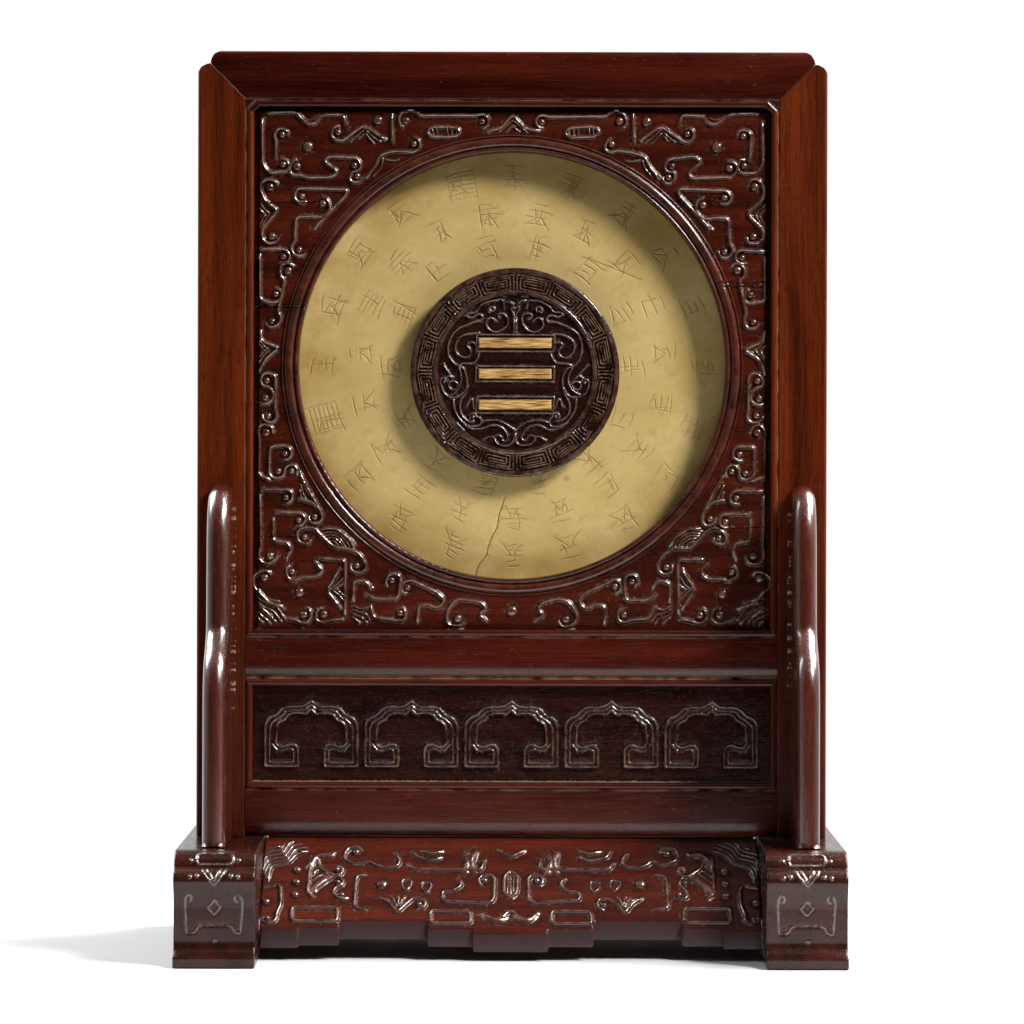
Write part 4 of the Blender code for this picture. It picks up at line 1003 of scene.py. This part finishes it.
for path, depth in zip(paths("""
-8,-135 -13,-150 -15,-163 -22,-176 -26,-192 -33,-200 -38,-214
71,110 98,100 127,88
"""), (0.0003, 0.00012)):
    crack.line(path * GRID, 0.00016, -depth, radius=0.0005)


def deepest(carving, points):
    """For lines cut into the surface: how deep, with the level ground at nothing."""
    raised = Carving()
    raised.paths = [(path, width, -rise, closed) for path, width, rise, closed in carving.paths]
    height, crest, _ = raised.measure(points)
    return -np.maximum(height, 0), crest


def jade_lift(points):
    sunk, cut = deepest(strokes, points)
    split_depth, split = deepest(crack, points)
    return sunk + split_depth, {"cut": cut, "crack": split}


jade = bpy.data.materials.new("celadon_jade_stone")
jade.use_nodes = True
tree = jade.node_tree
shader = tree.nodes["Principled BSDF"]
place = object_place(tree)
clouds = noise(tree, place, 38.0, 4.0, 0.6)
veins = noise(tree, place, 150.0, 6.0, 0.7)
tone = mixed(tree, ranged(tree, clouds, 0.35, 0.68), (0.56, 0.405, 0.152, 1), (0.665, 0.500, 0.212, 1))
tone = mixed(tree, ranged(tree, veins, 0.52, 0.78, 0.0, 0.55), tone, (0.40, 0.23, 0.07, 1))
# Towards its rim the stone turns browner: partly a real brown stain, partly painted shade from the ring.
from_middle = vector(tree, "DISTANCE", place, (0.0, 0.0, OPENING_Z))["Value"]
rim_stain_and_shade = times(tree, ranged(tree, from_middle, 0.052, 0.077, 0.0, 0.72), ranged(tree, clouds, 0.66, 0.38))
tone = mixed(tree, rim_stain_and_shade, tone, (0.36, 0.205, 0.035, 1))
dots = ranged(tree, noise(tree, place, 1500.0), 0.50, 0.72, 0.0, 0.22)
tone = mixed(tree, dots, tone, (0.38, 0.25, 0.09, 1))
flecks = put(tree, "ShaderNodeTexVoronoi", {"Vector": place, "Scale": 52.0, "Randomness": 1.0})
spots = ranged(tree, flecks.outputs["Distance"], 0.10, 0.02)
spots = times(tree, spots, ranged(tree, noise(tree, place, 21.0), 0.52, 0.62))
tone = mixed(tree, spots, tone, (0.24, 0.10, 0.02, 1))
cut_mark = put(tree, "ShaderNodeAttribute", attribute_name="cut").outputs["Fac"]
stained = times(tree, cut_mark, ranged(tree, veins, 0.32, 0.62, 0.08, 0.70))
tone = mixed(tree, stained, tone, (0.26, 0.135, 0.035, 1))
crack_mark = put(tree, "ShaderNodeAttribute", attribute_name="crack").outputs["Fac"]
fine_bump = put(tree, "ShaderNodeBump", {"Strength": 0.25, "Distance": 0.0001, "Height": veins})
fed(tree, shader, {
    "Base Color": mixed(tree, times(tree, crack_mark, 0.85), tone, (0.16, 0.08, 0.02, 1)),
    "Roughness": ranged(tree, veins, 0.3, 0.7, 0.34, 0.5), "Specular IOR Level": 0.25,
    "Normal": fine_bump.outputs["Normal"],
})

rim = arc((0, 0), JADE_RADIUS, JADE_RADIUS, 0, 358, 179)
stone = carved_board(
    "jade_stone", rim, None, strokes.sheet_points() + crack.sheet_points(), 0.0016, jade_lift,
    *upright(JADE_FRONT, JADE_BACK, 0.0, OPENING_Z),
)
fitted(stone, jade, "celadon_jade", "jade_disc")

# The back board: a plain hardwood board that closes the frame from behind, with the jade let into
# a round pocket in its front. Nothing is carved on it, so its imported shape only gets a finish.
back_wood = wood(
    "back_board_wood", "x", (0.4, 0.2, 0.3), (0.026, 0.005, 0.003), (0.075, 0.016, 0.008), 0.42, dustiness=0.4
)
back_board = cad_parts["back_board"]
back_board.data.materials.clear()
back_board.data.materials.append(back_wood)

# The boss: a round block of darker, denser wood on the jade. Its rim and key fret frame a wreath
# of dragons, and the three framed bars between them are gilt. Everything is cut from one block.
BOSS_RADIUS = 0.0367
BOSS_X = 0.0010
BOSS_Z = 0.2021
BOSS_FRONT = -0.0055
BOSS_BACK = 0.0002
FRET_KEYS = 16
BAR_HEIGHTS = (29.5, -1.5, -32.5)
BAR_HALF_LENGTH = 36.7 * GRID
BAR_HALF_HEIGHT = 5.0 * GRID


def gild(material):
    """Worn gilding over the wood, where the mesh is marked as gilt."""
    tree = material.node_tree
    shader = tree.nodes["Principled BSDF"]
    mark = put(tree, "ShaderNodeAttribute", attribute_name="gilt").outputs["Fac"]
    rubbed = streaks(tree, object_place(tree), 0.0060, 0.00045, 4.0)
    share = times(tree, mark, ranged(tree, rubbed, 0.30, 0.40))
    under = shader.inputs["Base Color"].links[0].from_socket
    leaf = mixed(tree, ranged(tree, rubbed, 0.4, 0.7), (0.40, 0.20, 0.06, 1), (1.0, 0.66, 0.27, 1))
    fed(tree, shader, {"Base Color": mixed(tree, share, under, leaf), "Metallic": times(tree, share, 0.15)})


fret = Carving((0.8, 1.5))
fret_path = paths("0.6,0 0.6,5 12.4,5 12.4,0 1.9,0 1.9,4 11.1,4 11.1,1 3.2,1 3.2,3 9.8,3 9.8,2 4.6,2")[0]
for i in range(FRET_KEYS):
    turned_path = []
    for across, outwards in fret_path:
        share = across / 13 if i % 2 == 0 else 1 - across / 13
        angle = math.radians(90 - 360 / FRET_KEYS * (i + share))
        reach = BOSS_RADIUS * (0.801 + 0.0270 * outwards)
        turned_path.append((reach * math.cos(angle), reach * math.sin(angle)))
    fret.line(turned_path, 0.00024, 0.00045, radius=0.0002)

dragons = scrolls(
    (GRID, GRID), 0.00045, 0.00065, 0.0007,
    lines="""
49.6,57.7 46.6,60 39.9,60 37.6,62.2 35.4,66.7 30.9,69.2 23.4,71.9 17.4,71.9 15.9,73.4 12.6,72.4 11.4,67.4
 10.6,64.4
48.9,59.2 45.9,55.5 41.4,54.7 38.4,57.7 33.9,57.7 31.2,54 33.9,51 37.6,51.7
19.6,52.5 23.4,55.5 27.1,54 29.4,48.7 26.4,43.5 20.4,40.5 12.9,42 7.6,47.2 6.9,54 9.1,58.5 14.4,60 18.1,57.7
 15.9,55.5
33.9,51 41.4,50.2 47.4,48 56.4,45 63.8,38.2 67.6,28.5 66.8,18 62.4,9 56.4,6 51.9,4.5 48.1,-4.5 47.4,-13.5
 50.4,-22.5 54.1,-27 55.6,-36 53.4,-43.5 47.4,-48.7 42.9,-49.5 41.4,-48
39.1,27 39.9,30 45.1,30.7 48.9,27 45.9,24.7 43.6,21 45.9,15.7 51.9,14.2 57.9,18 60.1,24 59.4,30 55.6,35.2
 48.9,38.2 36.9,39
36.1,19.5 38.4,12 42.9,9 53.4,9 56.4,6
72.8,8.2 63.8,-3
68.3,-5.2 64.6,-3 61.6,-5.2
57.1,5.2 54.1,-1.5 53.4,-10.5 57.9,-18 63.8,-22.5
74.3,-13.5 71.3,-21 63.8,-25.5 53.4,-23.2 47.4,-13.5
61.6,-27 60.9,-37.5 54.9,-48 45.9,-54 35.4,-54 33.9,-49.5 35.4,-45 38.4,-44.2
47.4,-33 45.1,-26.2 42.1,-27 41.4,-33 39.9,-36
33.9,-49.5 27.9,-48 17.4,-48 8.4,-51.7 0.1,-57.7
53.4,-50.2 45.9,-55.5 35.4,-57.7 23.4,-52.5 14.4,-54 8.4,-60 6.1,-65.2 8.4,-68.9 11.4,-68.2 12.9,-64.4
 15.9,-62.2 20.4,-64.4 24.9,-63.7 31.6,-68.2
20.4,-65.9 17.4,-71.9 8.4,-74.2 1.6,-71.2 0.1,-61.5
0.9,52.5 0.9,39.7
-1.3,52.5 -1.3,39.7
9.9,71.9 5.4,71.9 2.4,68.9
-1.3,54 5.4,65.9 0,65
""" + "\n".join(f"39,{middle + 8} 39,{middle - 8}" for middle in BAR_HEIGHTS),
    buttons="26,62,3 71,-10,3 42,-44,3",
    closed="""
27.9,62.2 24.9,65.9 21.1,65.2 19.6,62.9 23.4,61.2 26.4,61.5
55.6,-12 60.9,-18 66.1,-15.7 66.8,-10.5 61.6,-7.5
""",
    middle="\n".join(f"39,{middle + side} 0,{middle + side}" for middle in BAR_HEIGHTS for side in (8, -8)),
)

BOSS_STEPS = paths("""
0.0,-0.00075 0.735,-0.00075 0.748,0.0 0.776,0.0 0.788,-0.00050 0.948,-0.00050 0.956,0.0 0.975,0.0
 0.990,-0.00012 1.0,-0.00055
""")[0]


def boss_lift(points):
    out = np.linalg.norm(points, axis=1) / BOSS_RADIUS
    level = np.interp(out, *BOSS_STEPS.T)
    keys, key_crest, _ = fret.measure(points)
    cut, crest, hollow = dragons.measure(points)
    in_fret = (out > 0.786) & (out < 0.950)
    inside = out < 0.735
    bars = np.zeros(len(points))
    for middle in BAR_HEIGHTS:
        beside, above = np.abs(points - (0.0, middle * GRID)).T
        beyond = np.maximum(beside - BAR_HALF_LENGTH, above - BAR_HALF_HEIGHT)
        bars = np.maximum(bars, np.clip(0.5 - beyond / 0.0003, 0, 1))
    height = level + np.where(in_fret, keys, 0) + np.where(inside, cut, 0)
    height = np.where(bars > 0, np.maximum(height, level + 0.00055 * bars), height)
    crest = np.where(inside, crest, np.where(in_fret, 2.4 * key_crest, 0.6 * ((out > 0.745) & (out < 0.99))))
    hollow = np.where(inside, hollow, np.where(in_fret, 1 - key_crest, 0.0))
    return height, {
        "crest": crest * (1 - bars), "hollow": hollow * (1 - bars),
        "caked": 0.25 * hollow * inside * (1 - bars), "gilt": bars,
    }


boss_rows = fret.sheet_points() + dragons.sheet_points()
for share in (
    0.735, 0.7415, 0.748, 0.762, 0.776, 0.782, 0.788, 0.948, 0.952, 0.956, 0.9655, 0.975, 0.983, 0.990, 0.996,
):
    boss_rows.append(arc((0, 0), BOSS_RADIUS * share, BOSS_RADIUS * share, 0, 359, 359))
for middle in BAR_HEIGHTS:
    across = np.linspace(-37.8, 37.8, 75)
    up = np.linspace(middle - 6.2, middle + 6.2, 15)
    boss_rows.append(np.stack(np.meshgrid(across, up), -1).reshape(-1, 2) * GRID)
boss_wood = wood(
    "boss_wood", "x", (0.03, 0.21, 0.41), (0.010, 0.0022, 0.0015), (0.036, 0.009, 0.005), 0.24,
    carved=True, dustiness=0.25, wax=0.9,
)
gild(boss_wood)
boss = carved_board(
    "boss_block", arc((0, 0), BOSS_RADIUS, BOSS_RADIUS, 0, 358.5, 239), None, boss_rows, 0.0011, boss_lift,
    *upright(BOSS_FRONT, BOSS_BACK, BOSS_X, BOSS_Z), 0.00011,
)
fitted(boss, boss_wood, "polished_wood", "boss")

# The carved panel: one hardwood board with its grain level. A moulded ring is cut around its opening,
# and the corners are carved in low relief with thin raised scrolls. The board has split in places.
PANEL_FRONT = -0.0075
PANEL_BACK = 0.0002
PANEL_HALF_WIDTH = 0.09295
PANEL_LOW = -0.0949
PANEL_HIGH = 0.0927
OPENING_RADIUS = 0.0750
RING_WIDTH = 0.0060
RING_RISE = 0.0012
MARGIN_X = 0.0887
MARGIN_Z = 0.0888
MARGIN_ROWS = (0.0886, 0.0889, 0.0892)
MARGIN_DEPTH = 0.0006
BEADS_HALF_APART = 0.09065
PANEL_SEAMS = (-0.0926, 0.0904)
GRID_X = 0.00035 * 186.5 / 186.6

scrollwork = scrolls(
    (GRID_X, GRID), 0.00070, 0.00090, 0.0010,
    lines="""
251,245 251,201 243,192 234,194
246,253 217,253 209,245 201,241 194,246
192,251 169,251 167,241
238,224 238,206
171,225 149,240 128,226
121,252 121,224
213,190 205,188 181,188 175,193 190,205 183,210 161,208
147,188 137,199 133,210 120,214 106,215
93,250 35,250
251,172 249,165 235,154 249,139
213,177 166,177 167,171 199,137
201,149 217,148 218,123
253,116 231,116
253,110 253,65 244,64
228,86 235,53
253,34 251,24 233,17 247,7 254,-7
237,-12 237,-44
254,-72 254,-111 242,-115
243,-103 243,-81 229,-81
213,-109 201,-129 191,-148
213,-134 201,-137 194,-144
251,-125 229,-125
252,-131 252,-183
237,-148 217,-148
239,-154 239,-176 225,-177 220,-185 226,-194
213,-166 205,-162 197,-164 179,-183 164,-183 152,-189 146,-199
189,-163 176,-164 164,-173 158,-180
192,-194 167,-194 167,-248
197,-198 189,-206 195,-213 212,-213
171,-203 185,-225 171,-243
253,-228 243,-238 229,-242
253,-242 241,-252
225,-254 215,-256
182,-256 169,-254
159,-236 159,-217 147,-215 141,-223
144,-230 136,-235 114,-234 112,-214
142,-241 138,-253 119,-255
98,-217 75,-227 67,-234 70,-241 77,-243 83,-239 94,-241 94,-257
61,-241 55,-235 46,-234 31,-237 25,-244 33,-250 25,-255
""",
    buttons="""
231,201 175,233 231,230 205,219,5.5 135,245 107,245,6 217,198,6 159,200 156,189 99,222 30,244 243,179,6
241,129,5.5 212,169 191,161,5.5 213,115 230,108 238,71 225,95,6 241,44 246,-15 248,-33,5.5 245,-51 246,-67,6
234,-107 228,-89 221,-106 198,-153 226,-133 242,-191,6 214,-156 208,-173 155,-202 220,-207 212,-229
248,-213,6 208,-250,6 189,-250,6 120,-216 112,-249 104,-222 54,-254,6 0,-246,5.5
""",
    closed="87,234 82,239 57,239 52,234 57,229 82,229",
    middle="26,235 11,238 0,252",
    thin="""
212.8,251.8 207.5,246.4 202.1,245.5 197.6,248.2
148.5,236.6 140.5,228.6 132.4,224.1
148.5,232.1 144,227.7 139.6,223.2
150.3,234.8 156.5,228.2 162.8,224.1
150.3,230.4 154.8,225.9
253,161.6 248.5,156.3 244,152.7
253.5,157.1 250.3,153.6 247.6,151.4
243.1,150.9 249.4,142.9 253,133.9
247.1,150 251.2,144.6 253.9,138.4
253.5,25.9 249.4,19.6 244.9,16.4
254.2,21.4 250.3,16.4
243.1,15.2 250.3,8.9 253.5,1.8
248.5,14.3 253,8.9
168.5,-211.4 173.9,-219.5 181,-223.9
167.6,-217.7 171.2,-221.3 176.5,-224.3
179.2,-225.4 172.1,-231.1 167.1,-238.2
175.6,-224.8 170.3,-228.4 167.1,-232.9
130.6,206.3 131.5,198.2 139.6,189.3
128.5,206.3 119.9,204.5 113.7,206.3
191.7,-165 179.2,-163.6 168.5,-168.6 161.4,-177.5 158.7,-183.8
189,-167.7 179.2,-166.8 170.3,-171.3 164,-178.4 162.3,-182.5
187.3,-170.4 179.2,-169.8 172.1,-173.9 166.7,-181.1
184.6,-173 178.3,-173 172.1,-177.5 169.4,-182
182.4,-176.1 177.4,-177.1 174.2,-181.1
254.2,-229.3 245.3,-234.6 232.8,-236.8
254.6,-233.2 247.1,-238.2 236.4,-240 231.9,-247.1 226.5,-255.2
254.6,-238.2 248,-242.7 239,-245.4 234.6,-252.5 231,-257
254.6,-242.7 248.9,-247.1 241.7,-250.2 237.8,-256.4
254.6,-248 249.8,-251.6 244.4,-254.6 242.1,-257.9
254.2,-252.9 249.8,-257
159.2,-240.9 151.5,-245 143.5,-242.1
159.2,-243.9 152.4,-248 145.3,-248.4 141.4,-255.2
159.2,-248 154.2,-251.6 148,-252.9 145.3,-257.3
159.2,-252.5 155.1,-255.5 152.8,-257.9
210.5,-115.9 206.9,-123.9 201,-131.4
211.7,-119.5 209.6,-127.5 206.9,-132.5
212.8,-125.7 211,-132
84.2,231.5 84.2,238
80.3,231.5 80.3,238
76.4,231.5 76.4,238
65.5,231.5 65.5,238
61,231.5 61,238
56.5,231.5 56.5,238
0,246 8,238.5 14,234
0,240 6,234
""",
)

splits = Carving()
for path in paths("""
-262,57.5 -240,58.2 -222,57.2 -206,57.5
-262,163 -225,162.5 -194,163
206,84 228,83 258,84.5
210,79 236,79.5 257,78.5
161,-166 185,-164 215,-163 259,-161
205,195 236,195.5 258,195
-252,-172 -230,-171.5 -212,-172
"""):
    splits.line(path * GRID, 0.00011, -0.0005, radius=0.0005)

RING_SHAPE = paths("""
0.0,0.25 0.03,0.55 0.09,0.74 0.14,0.75 0.20,0.60 0.24,0.25 0.27,0.05 0.31,0.32 0.38,0.72 0.46,0.94 0.55,1.0
 0.64,0.95 0.72,0.78 0.80,0.45 0.84,0.12 0.87,0.08 0.90,0.35 0.935,0.46 0.97,0.35 1.0,0.0
""")[0]


def seam_dust(points, low, high):
    """Dust packed along the bead, most of it on the lower edge."""
    inside = np.minimum(BEADS_HALF_APART - np.abs(points[:, 0]), high - points[:, 1])
    lower_edge = np.exp(-(((points[:, 1] - low) / 0.0006) ** 2))
    return np.maximum(0.22 * np.exp(-((inside / 0.0005) ** 2)), lower_edge)


def panel_lift(points):
    out = np.linalg.norm(points, axis=1)
    share = (out - OPENING_RADIUS) / RING_WIDTH
    ring = RING_RISE * np.interp(share, *RING_SHAPE.T)
    clear = np.clip((share - 1.03) / 0.12, 0, 1)
    cut, crest, hollow = scrollwork.measure(points)
    x, z = points[:, 0] * 1000, points[:, 1] * 1000
    uneven = 0.00003 * (np.sin(x * 1.9 + np.sin(z * 0.9)) + np.sin(z * 2.7 + np.sin(x * 1.3) * 1.5))
    sunk, split = deepest(splits, points)
    # The margin along the beads is sunk, and the sunk mark also darkens it nearly to black: painted shade.
    margin = np.clip(np.maximum(np.abs(points[:, 0]) - MARGIN_X, points[:, 1] - MARGIN_Z) / 0.0003, 0, 1)
    height = ring + clear * (cut + uneven) + sunk - MARGIN_DEPTH * margin
    polished = 0.22 * ((share > 0) & (share < 1)) * np.clip(ring / RING_RISE * 1.5, 0, 1)
    caked = np.maximum(seam_dust(points, *PANEL_SEAMS), 0.30 * clear * hollow)
    return height, {
        "crest": np.maximum(clear * crest, polished), "hollow": clear * hollow, "caked": caked,
        "sunk": np.maximum(0.55 * margin, 0.8 * split),
    }


panel_rows = scrollwork.sheet_points() + splits.sheet_points()
for share in [*RING_SHAPE[1:, 0], 1.03, 1.09, 1.16, 1.25]:
    reach = OPENING_RADIUS + RING_WIDTH * share
    panel_rows.append(arc((0, 0), reach, reach, 0, 359.4, 539))
for offset in MARGIN_ROWS:
    line = np.arange(PANEL_SEAMS[0], offset, 0.0004)
    panel_rows += [np.stack([np.full(len(line), side * offset), line], 1) for side in (-1, 1)]
    line = np.arange(-offset, offset, 0.0004)
    panel_rows.append(np.stack([line, np.full(len(line), offset)], 1))
panel_wood = wood(
    "panel_wood", "x", (0.22, 0.11, 0.07), (0.024, 0.003, 0.0013), (0.090, 0.013, 0.005), 0.22,
    carved=True, dustiness=0.22, wax=0.35,
)


def oblong(half_width, low, high):
    """The border of an oblong board, with a point every 1.5 mm."""
    sides = [(-half_width, low), (half_width, low), (half_width, high), (-half_width, high)]
    return evenly(np.array(sides), 0.0015, True)


opening = arc((0, 0), OPENING_RADIUS, OPENING_RADIUS, 0, 359, 359)
panel = carved_board(
    "carved_panel_board", oblong(PANEL_HALF_WIDTH, PANEL_LOW, PANEL_HIGH), opening,
    panel_rows, 0.0015, panel_lift,
    *upright(PANEL_FRONT, PANEL_BACK, 0.0, OPENING_Z),
)
fitted(panel, panel_wood, "polished_wood", "carved_panel")

# The lower panel: a long hardwood board under the middle rail, carved with a row of five cloud
# heads. Each is a raised band with a line along both edges, and the ground beside it is darker.
LOWER_HALF_WIDTH = 0.09295
LOWER_HALF_HEIGHT = 0.0191
LOWER_Z = 0.0752
LOWER_BACK = 0.0045
LOWER_SEAM = 0.0168
CLOUD_PITCH = 100.3 * GRID_X
CLOUD_RISE = 0.00065
CLOUD_EDGE, CLOUD_HOOK, CLOUD_INSIDE, CLOUD_INNER_LINE = paths("""
0,35.3 2.6,32.6 7.6,29.9 13.2,28.9 20.2,29.4 27.2,28 31.4,24.7 34.7,20.6 39.8,19 44,15.7 46.2,10.7 46.2,-30.8
13.2,-30.8 13.2,-13.1 16,-8.9 21.6,-8.4 27.2,-11.2 32.8,-10.6 35.6,-6.7
35,-1.9 34.2,10.7 30,14.3 25.8,15.7 23,20.5 17.4,22.7 10.4,22.8 4.8,21.5 0,26.7
0,31 5,26.6 12,25.2 20,25.8 25.5,24.4 29,19.5 35,16 39.6,12 41.4,7 41.8,-26.6 17.6,-26.6 17.6,-14.4 22.5,-12.6
 28.5,-15 34,-14.4 38.8,-8.5
""")

cloud_loop = np.vstack([CLOUD_EDGE, CLOUD_HOOK, CLOUD_INSIDE])
cloud_loop = np.vstack([cloud_loop, cloud_loop[-2:0:-1] * (-1, 1)])
cloud_loop = evenly(rounded(cloud_loop, 1.2, True), 0.6, True)
cloud_lines = Carving()
cloud_outlines = []
for i in range(5):
    middle = np.array([(i - 2) * CLOUD_PITCH, -0.0006])
    outline = cloud_loop * (GRID_X, GRID) + middle
    cloud_outlines.append(outline)
    cloud_lines.line(outline[::2], 0.00045, 0.00045, True, 0.0002)
    for flip in (-1, 1):
        inner_line = CLOUD_INNER_LINE * (flip * GRID_X, GRID) + middle
        cloud_lines.line(inner_line, 0.00028, 0.00028, radius=0.0004)


def away_from(outline, points):
    """Distance from each point to a closed outline."""
    best = np.full(len(points), 9.0)
    for a, b in zip(outline, np.roll(outline, -1, axis=0)):
        along = b - a
        t = np.clip(((points - a) @ along) / max(along @ along, 1e-14), 0, 1)
        best = np.minimum(best, np.linalg.norm(points - a - t[:, None] * along, axis=1))
    return best


def lower_lift(points):
    band = np.zeros(len(points))
    for outline in cloud_outlines:
        near = np.abs(points[:, 0] - outline[:, 0].mean()) < CLOUD_PITCH / 2
        depth = away_from(outline, points[near]) * np.where(within(outline, points[near]), 1, -1)
        band[near] = np.maximum(band[near], np.clip((depth + 0.0006) / 0.00045, 0, 1))
    cut, crest, hollow = cloud_lines.measure(points)
    smooth = band * band * (3 - 2 * band)
    caked = np.maximum(seam_dust(points, -LOWER_SEAM, LOWER_SEAM), 0.38 * hollow)
    shaded = np.maximum(hollow, 0.25 * (1 - band))
    return CLOUD_RISE * smooth + cut, {"crest": crest, "hollow": shaded, "caked": caked}


lower_rows = cloud_lines.sheet_points()
for outline in cloud_outlines:
    edge = outward(outline)
    lower_rows += [outline + edge * out for out in (0.00015, 0.00038, 0.0006, 0.0008)]
lower_wood = wood(
    "lower_panel_wood", "x", (0.08, 0.31, 0.17), (0.007, 0.0010, 0.0007), (0.030, 0.0045, 0.0026), 0.24,
    carved=True, dustiness=0.15, wax=0.6, polish=0.22,
)
lower = carved_board(
    "lower_panel_board", oblong(LOWER_HALF_WIDTH, -LOWER_HALF_HEIGHT, LOWER_HALF_HEIGHT), None,
    lower_rows, 0.0011, lower_lift,
    *upright(PANEL_FRONT, LOWER_BACK, 0.0, LOWER_Z),
)
fitted(lower, lower_wood, "polished_wood", "lower_panel")

# The aprons: sloping hardwood boards between the feet, their lower edges cut in steps. The front one
# is carved with deeper scrolls than the panel; the back one, which doesn't show, is plain.
APRON_HALF_WIDTH = 0.08605
APRON_TOP_Y = 0.0083
APRON_RUN = 0.0337
APRON_DROP = 0.0296
APRON_TOP_Z = 0.0390
APRON_THICKNESS = 0.0062
APRON_UNITS = 96.5
slope = math.hypot(APRON_RUN, APRON_DROP)
APRON_GRID_X = 0.00035 * APRON_HALF_WIDTH * 2 / 0.1740
APRON_GRID_Z = slope / APRON_UNITS

apron_scrolls = scrolls(
    (APRON_GRID_X, APRON_GRID_Z), 0.00080, 0.00080, 0.0010,
    lines="""
244,-41 241,-31 231,-28 222,-26 218,-19 206,-14
243,-49 232,-48 229,-54 229,-68 233,-78
202,-20 203,-57 197,-61
196,-22 190,-32 181,-38
196,-55 192,-49 183,-43
164,-25 153,-28 143,-24 134,-30 124,-31 114,-30 111,-24 116,-17
146,-38 155,-40 156,-71 144,-73
103,-27 99,-33 29,-33 28,-23
130,-61 121,-66 113,-76 106,-68 98,-62
90,-14 78,-18 69,-14
53,-42 49,-48 58,-55 69,-55 68,-64 22,-66 17,-63 17,-42
0.5,-34 7,-39 7,-56 0.5,-61
100,-14 96,-20 90,-22 84,-24 76,-24 70,-20
""",
    buttons="""
215,-34,4.5 174,-34,4.5 215,-46,4.5 174,-46,4.5 215,-58,4.5 168,-58,4.5 244,-65,4.5 241,-82,4.5 157,-16,6
129,-47,6 92,-68 26,-44
""",
    closed="""
218,-71 172,-71 172,-85 218,-85
80,-74 40,-74 40,-86 80,-86
""",
    middle="""
13,-13 0,-21
27,-77 20,-83 9,-81 0,-73
""",
    thin="""
243.1,-44.8 244.5,-39.7 240.5,-30.8 231,-28.2 222.1,-27 218.9,-20 213.1,-15.5 205.5,-13.6
248.5,-51 238.5,-50 231.5,-48.6 229.5,-52 229.5,-68 232.5,-79
200.5,-56 194.5,-50 186.5,-43 182.5,-42
195.5,-21 181.5,-20 178.1,-16
162.5,-25 156.5,-29 143.5,-23.8
245.5,-41.4 246.9,-36.3 242.9,-27.4 233.4,-24.8 224.5,-23.6 221.3,-16.6 215.5,-12.1 207.9,-10.2
247.9,-38 249.3,-32.9 245.3,-24 235.8,-21.4 226.9,-20.2 223.7,-13.2 217.9,-8.7 210.3,-6.8
250.3,-34.6 247.7,-20.6 238.2,-18 229.3,-16.8 226.1,-9.8 220.3,-5.3
250.1,-17.2 240.6,-14.6 231.7,-13.4 228.5,-6.4
243,-11.2 234.1,-10
3,-40 3,-55
0,-38 0,-57
124,-61 115,-71
118.5,-61 113.5,-69
113,-61 112.5,-67
107,-61 111,-68
200,-51 188,-42
200,-45 190,-38
200,-39 193,-33
200,-33 196,-28
""",
    thin_closed="""
90,-50 88,-45 80,-45 79,-51 84,-57
110,-48 108,-43 100,-43 99,-49 104,-55
""",
    leaves="""
201,-55 193,-50 186,-43 183,-38
202,-30 197,-21 188,-18 181,-18
46,-16 43,-26 46,-34
37,-16 40,-26 37,-34
24,-80 14,-85 5,-80
""",
)
steps = paths(f"210,93 210,90.5 170,90.5 170,84 82,84 82,91.5 37,91.5 37,{APRON_UNITS}")[0]
right = [(APRON_HALF_WIDTH, 0.0), (APRON_HALF_WIDTH, -93 * APRON_GRID_Z)]
right += [(x * APRON_GRID_X, -v * APRON_GRID_Z) for x, v in steps]
apron_outline = evenly(np.array(right + [(-x, z) for x, z in right[::-1]]), 0.0012, True)
ahead, down = APRON_RUN / slope, APRON_DROP / slope


def apron_edge(points):
    """The arris along the lower edge, slightly rounded by wear."""
    away = away_from(apron_outline, points)
    return -0.0003 * np.clip(1 - away / 0.0005, 0, 1) ** 2


def carved_lift(points):
    cut, crest, hollow = apron_scrolls.measure(points)
    return cut + apron_edge(points), {"crest": crest, "hollow": hollow, "caked": 0.34 * hollow}


def plain_lift(points):
    nothing = np.zeros(len(points))
    return apron_edge(points), {"crest": nothing, "hollow": nothing}


apron_wood = wood(
    "apron_wood", "x", (0.19, 0.41, 0.03), (0.030, 0.004, 0.002), (0.095, 0.013, 0.005), 0.20,
    carved=True, dustiness=0.2, wax=0.55, polish=0.22,
)
tree = apron_wood.node_tree
shader = tree.nodes["Principled BSDF"]
# Painted reflection: faces that stand near upright, such as the stepped lower edges, are tinted greyish plum
# in place of their sheen.
facing = put(tree, "ShaderNodeSeparateXYZ", {"Vector": put(tree, "ShaderNodeTexCoord").outputs["Normal"]})
painted_sheen = ranged(tree, worked(tree, "ABSOLUTE", facing.outputs["Z"]), 0.30, 0.15, 0.0, 0.8)
apron_tone = shader.inputs["Base Color"].links[0].from_socket
fed(tree, shader, {"Base Color": mixed(tree, painted_sheen, apron_tone, (0.040, 0.024, 0.027, 1))})
edge_rows = [apron_outline - outward(apron_outline) * inwards for inwards in (0.00025, 0.0005, 0.0010)]
for node, side, lift, rows, spacing in (
    ("apron_front", -1, carved_lift, apron_scrolls.sheet_points() + edge_rows, 0.0012),
    ("apron_back", 1, plain_lift, edge_rows, 0.004),
):
    apron = carved_board(
        f"{node}_board", apron_outline, None, rows, spacing, lift,
        lambda p, h: np.stack([
            p[:, 0], side * (APRON_TOP_Y - p[:, 1] * ahead + h * down),
            APRON_TOP_Z + p[:, 1] * down + h * ahead,
        ], 1),
        lambda p: np.stack([
            p[:, 0], side * (APRON_TOP_Y - p[:, 1] * ahead), APRON_TOP_Z + p[:, 1] * down - APRON_THICKNESS
        ], 1),
    )
    fitted(apron, apron_wood, "polished_wood", node)
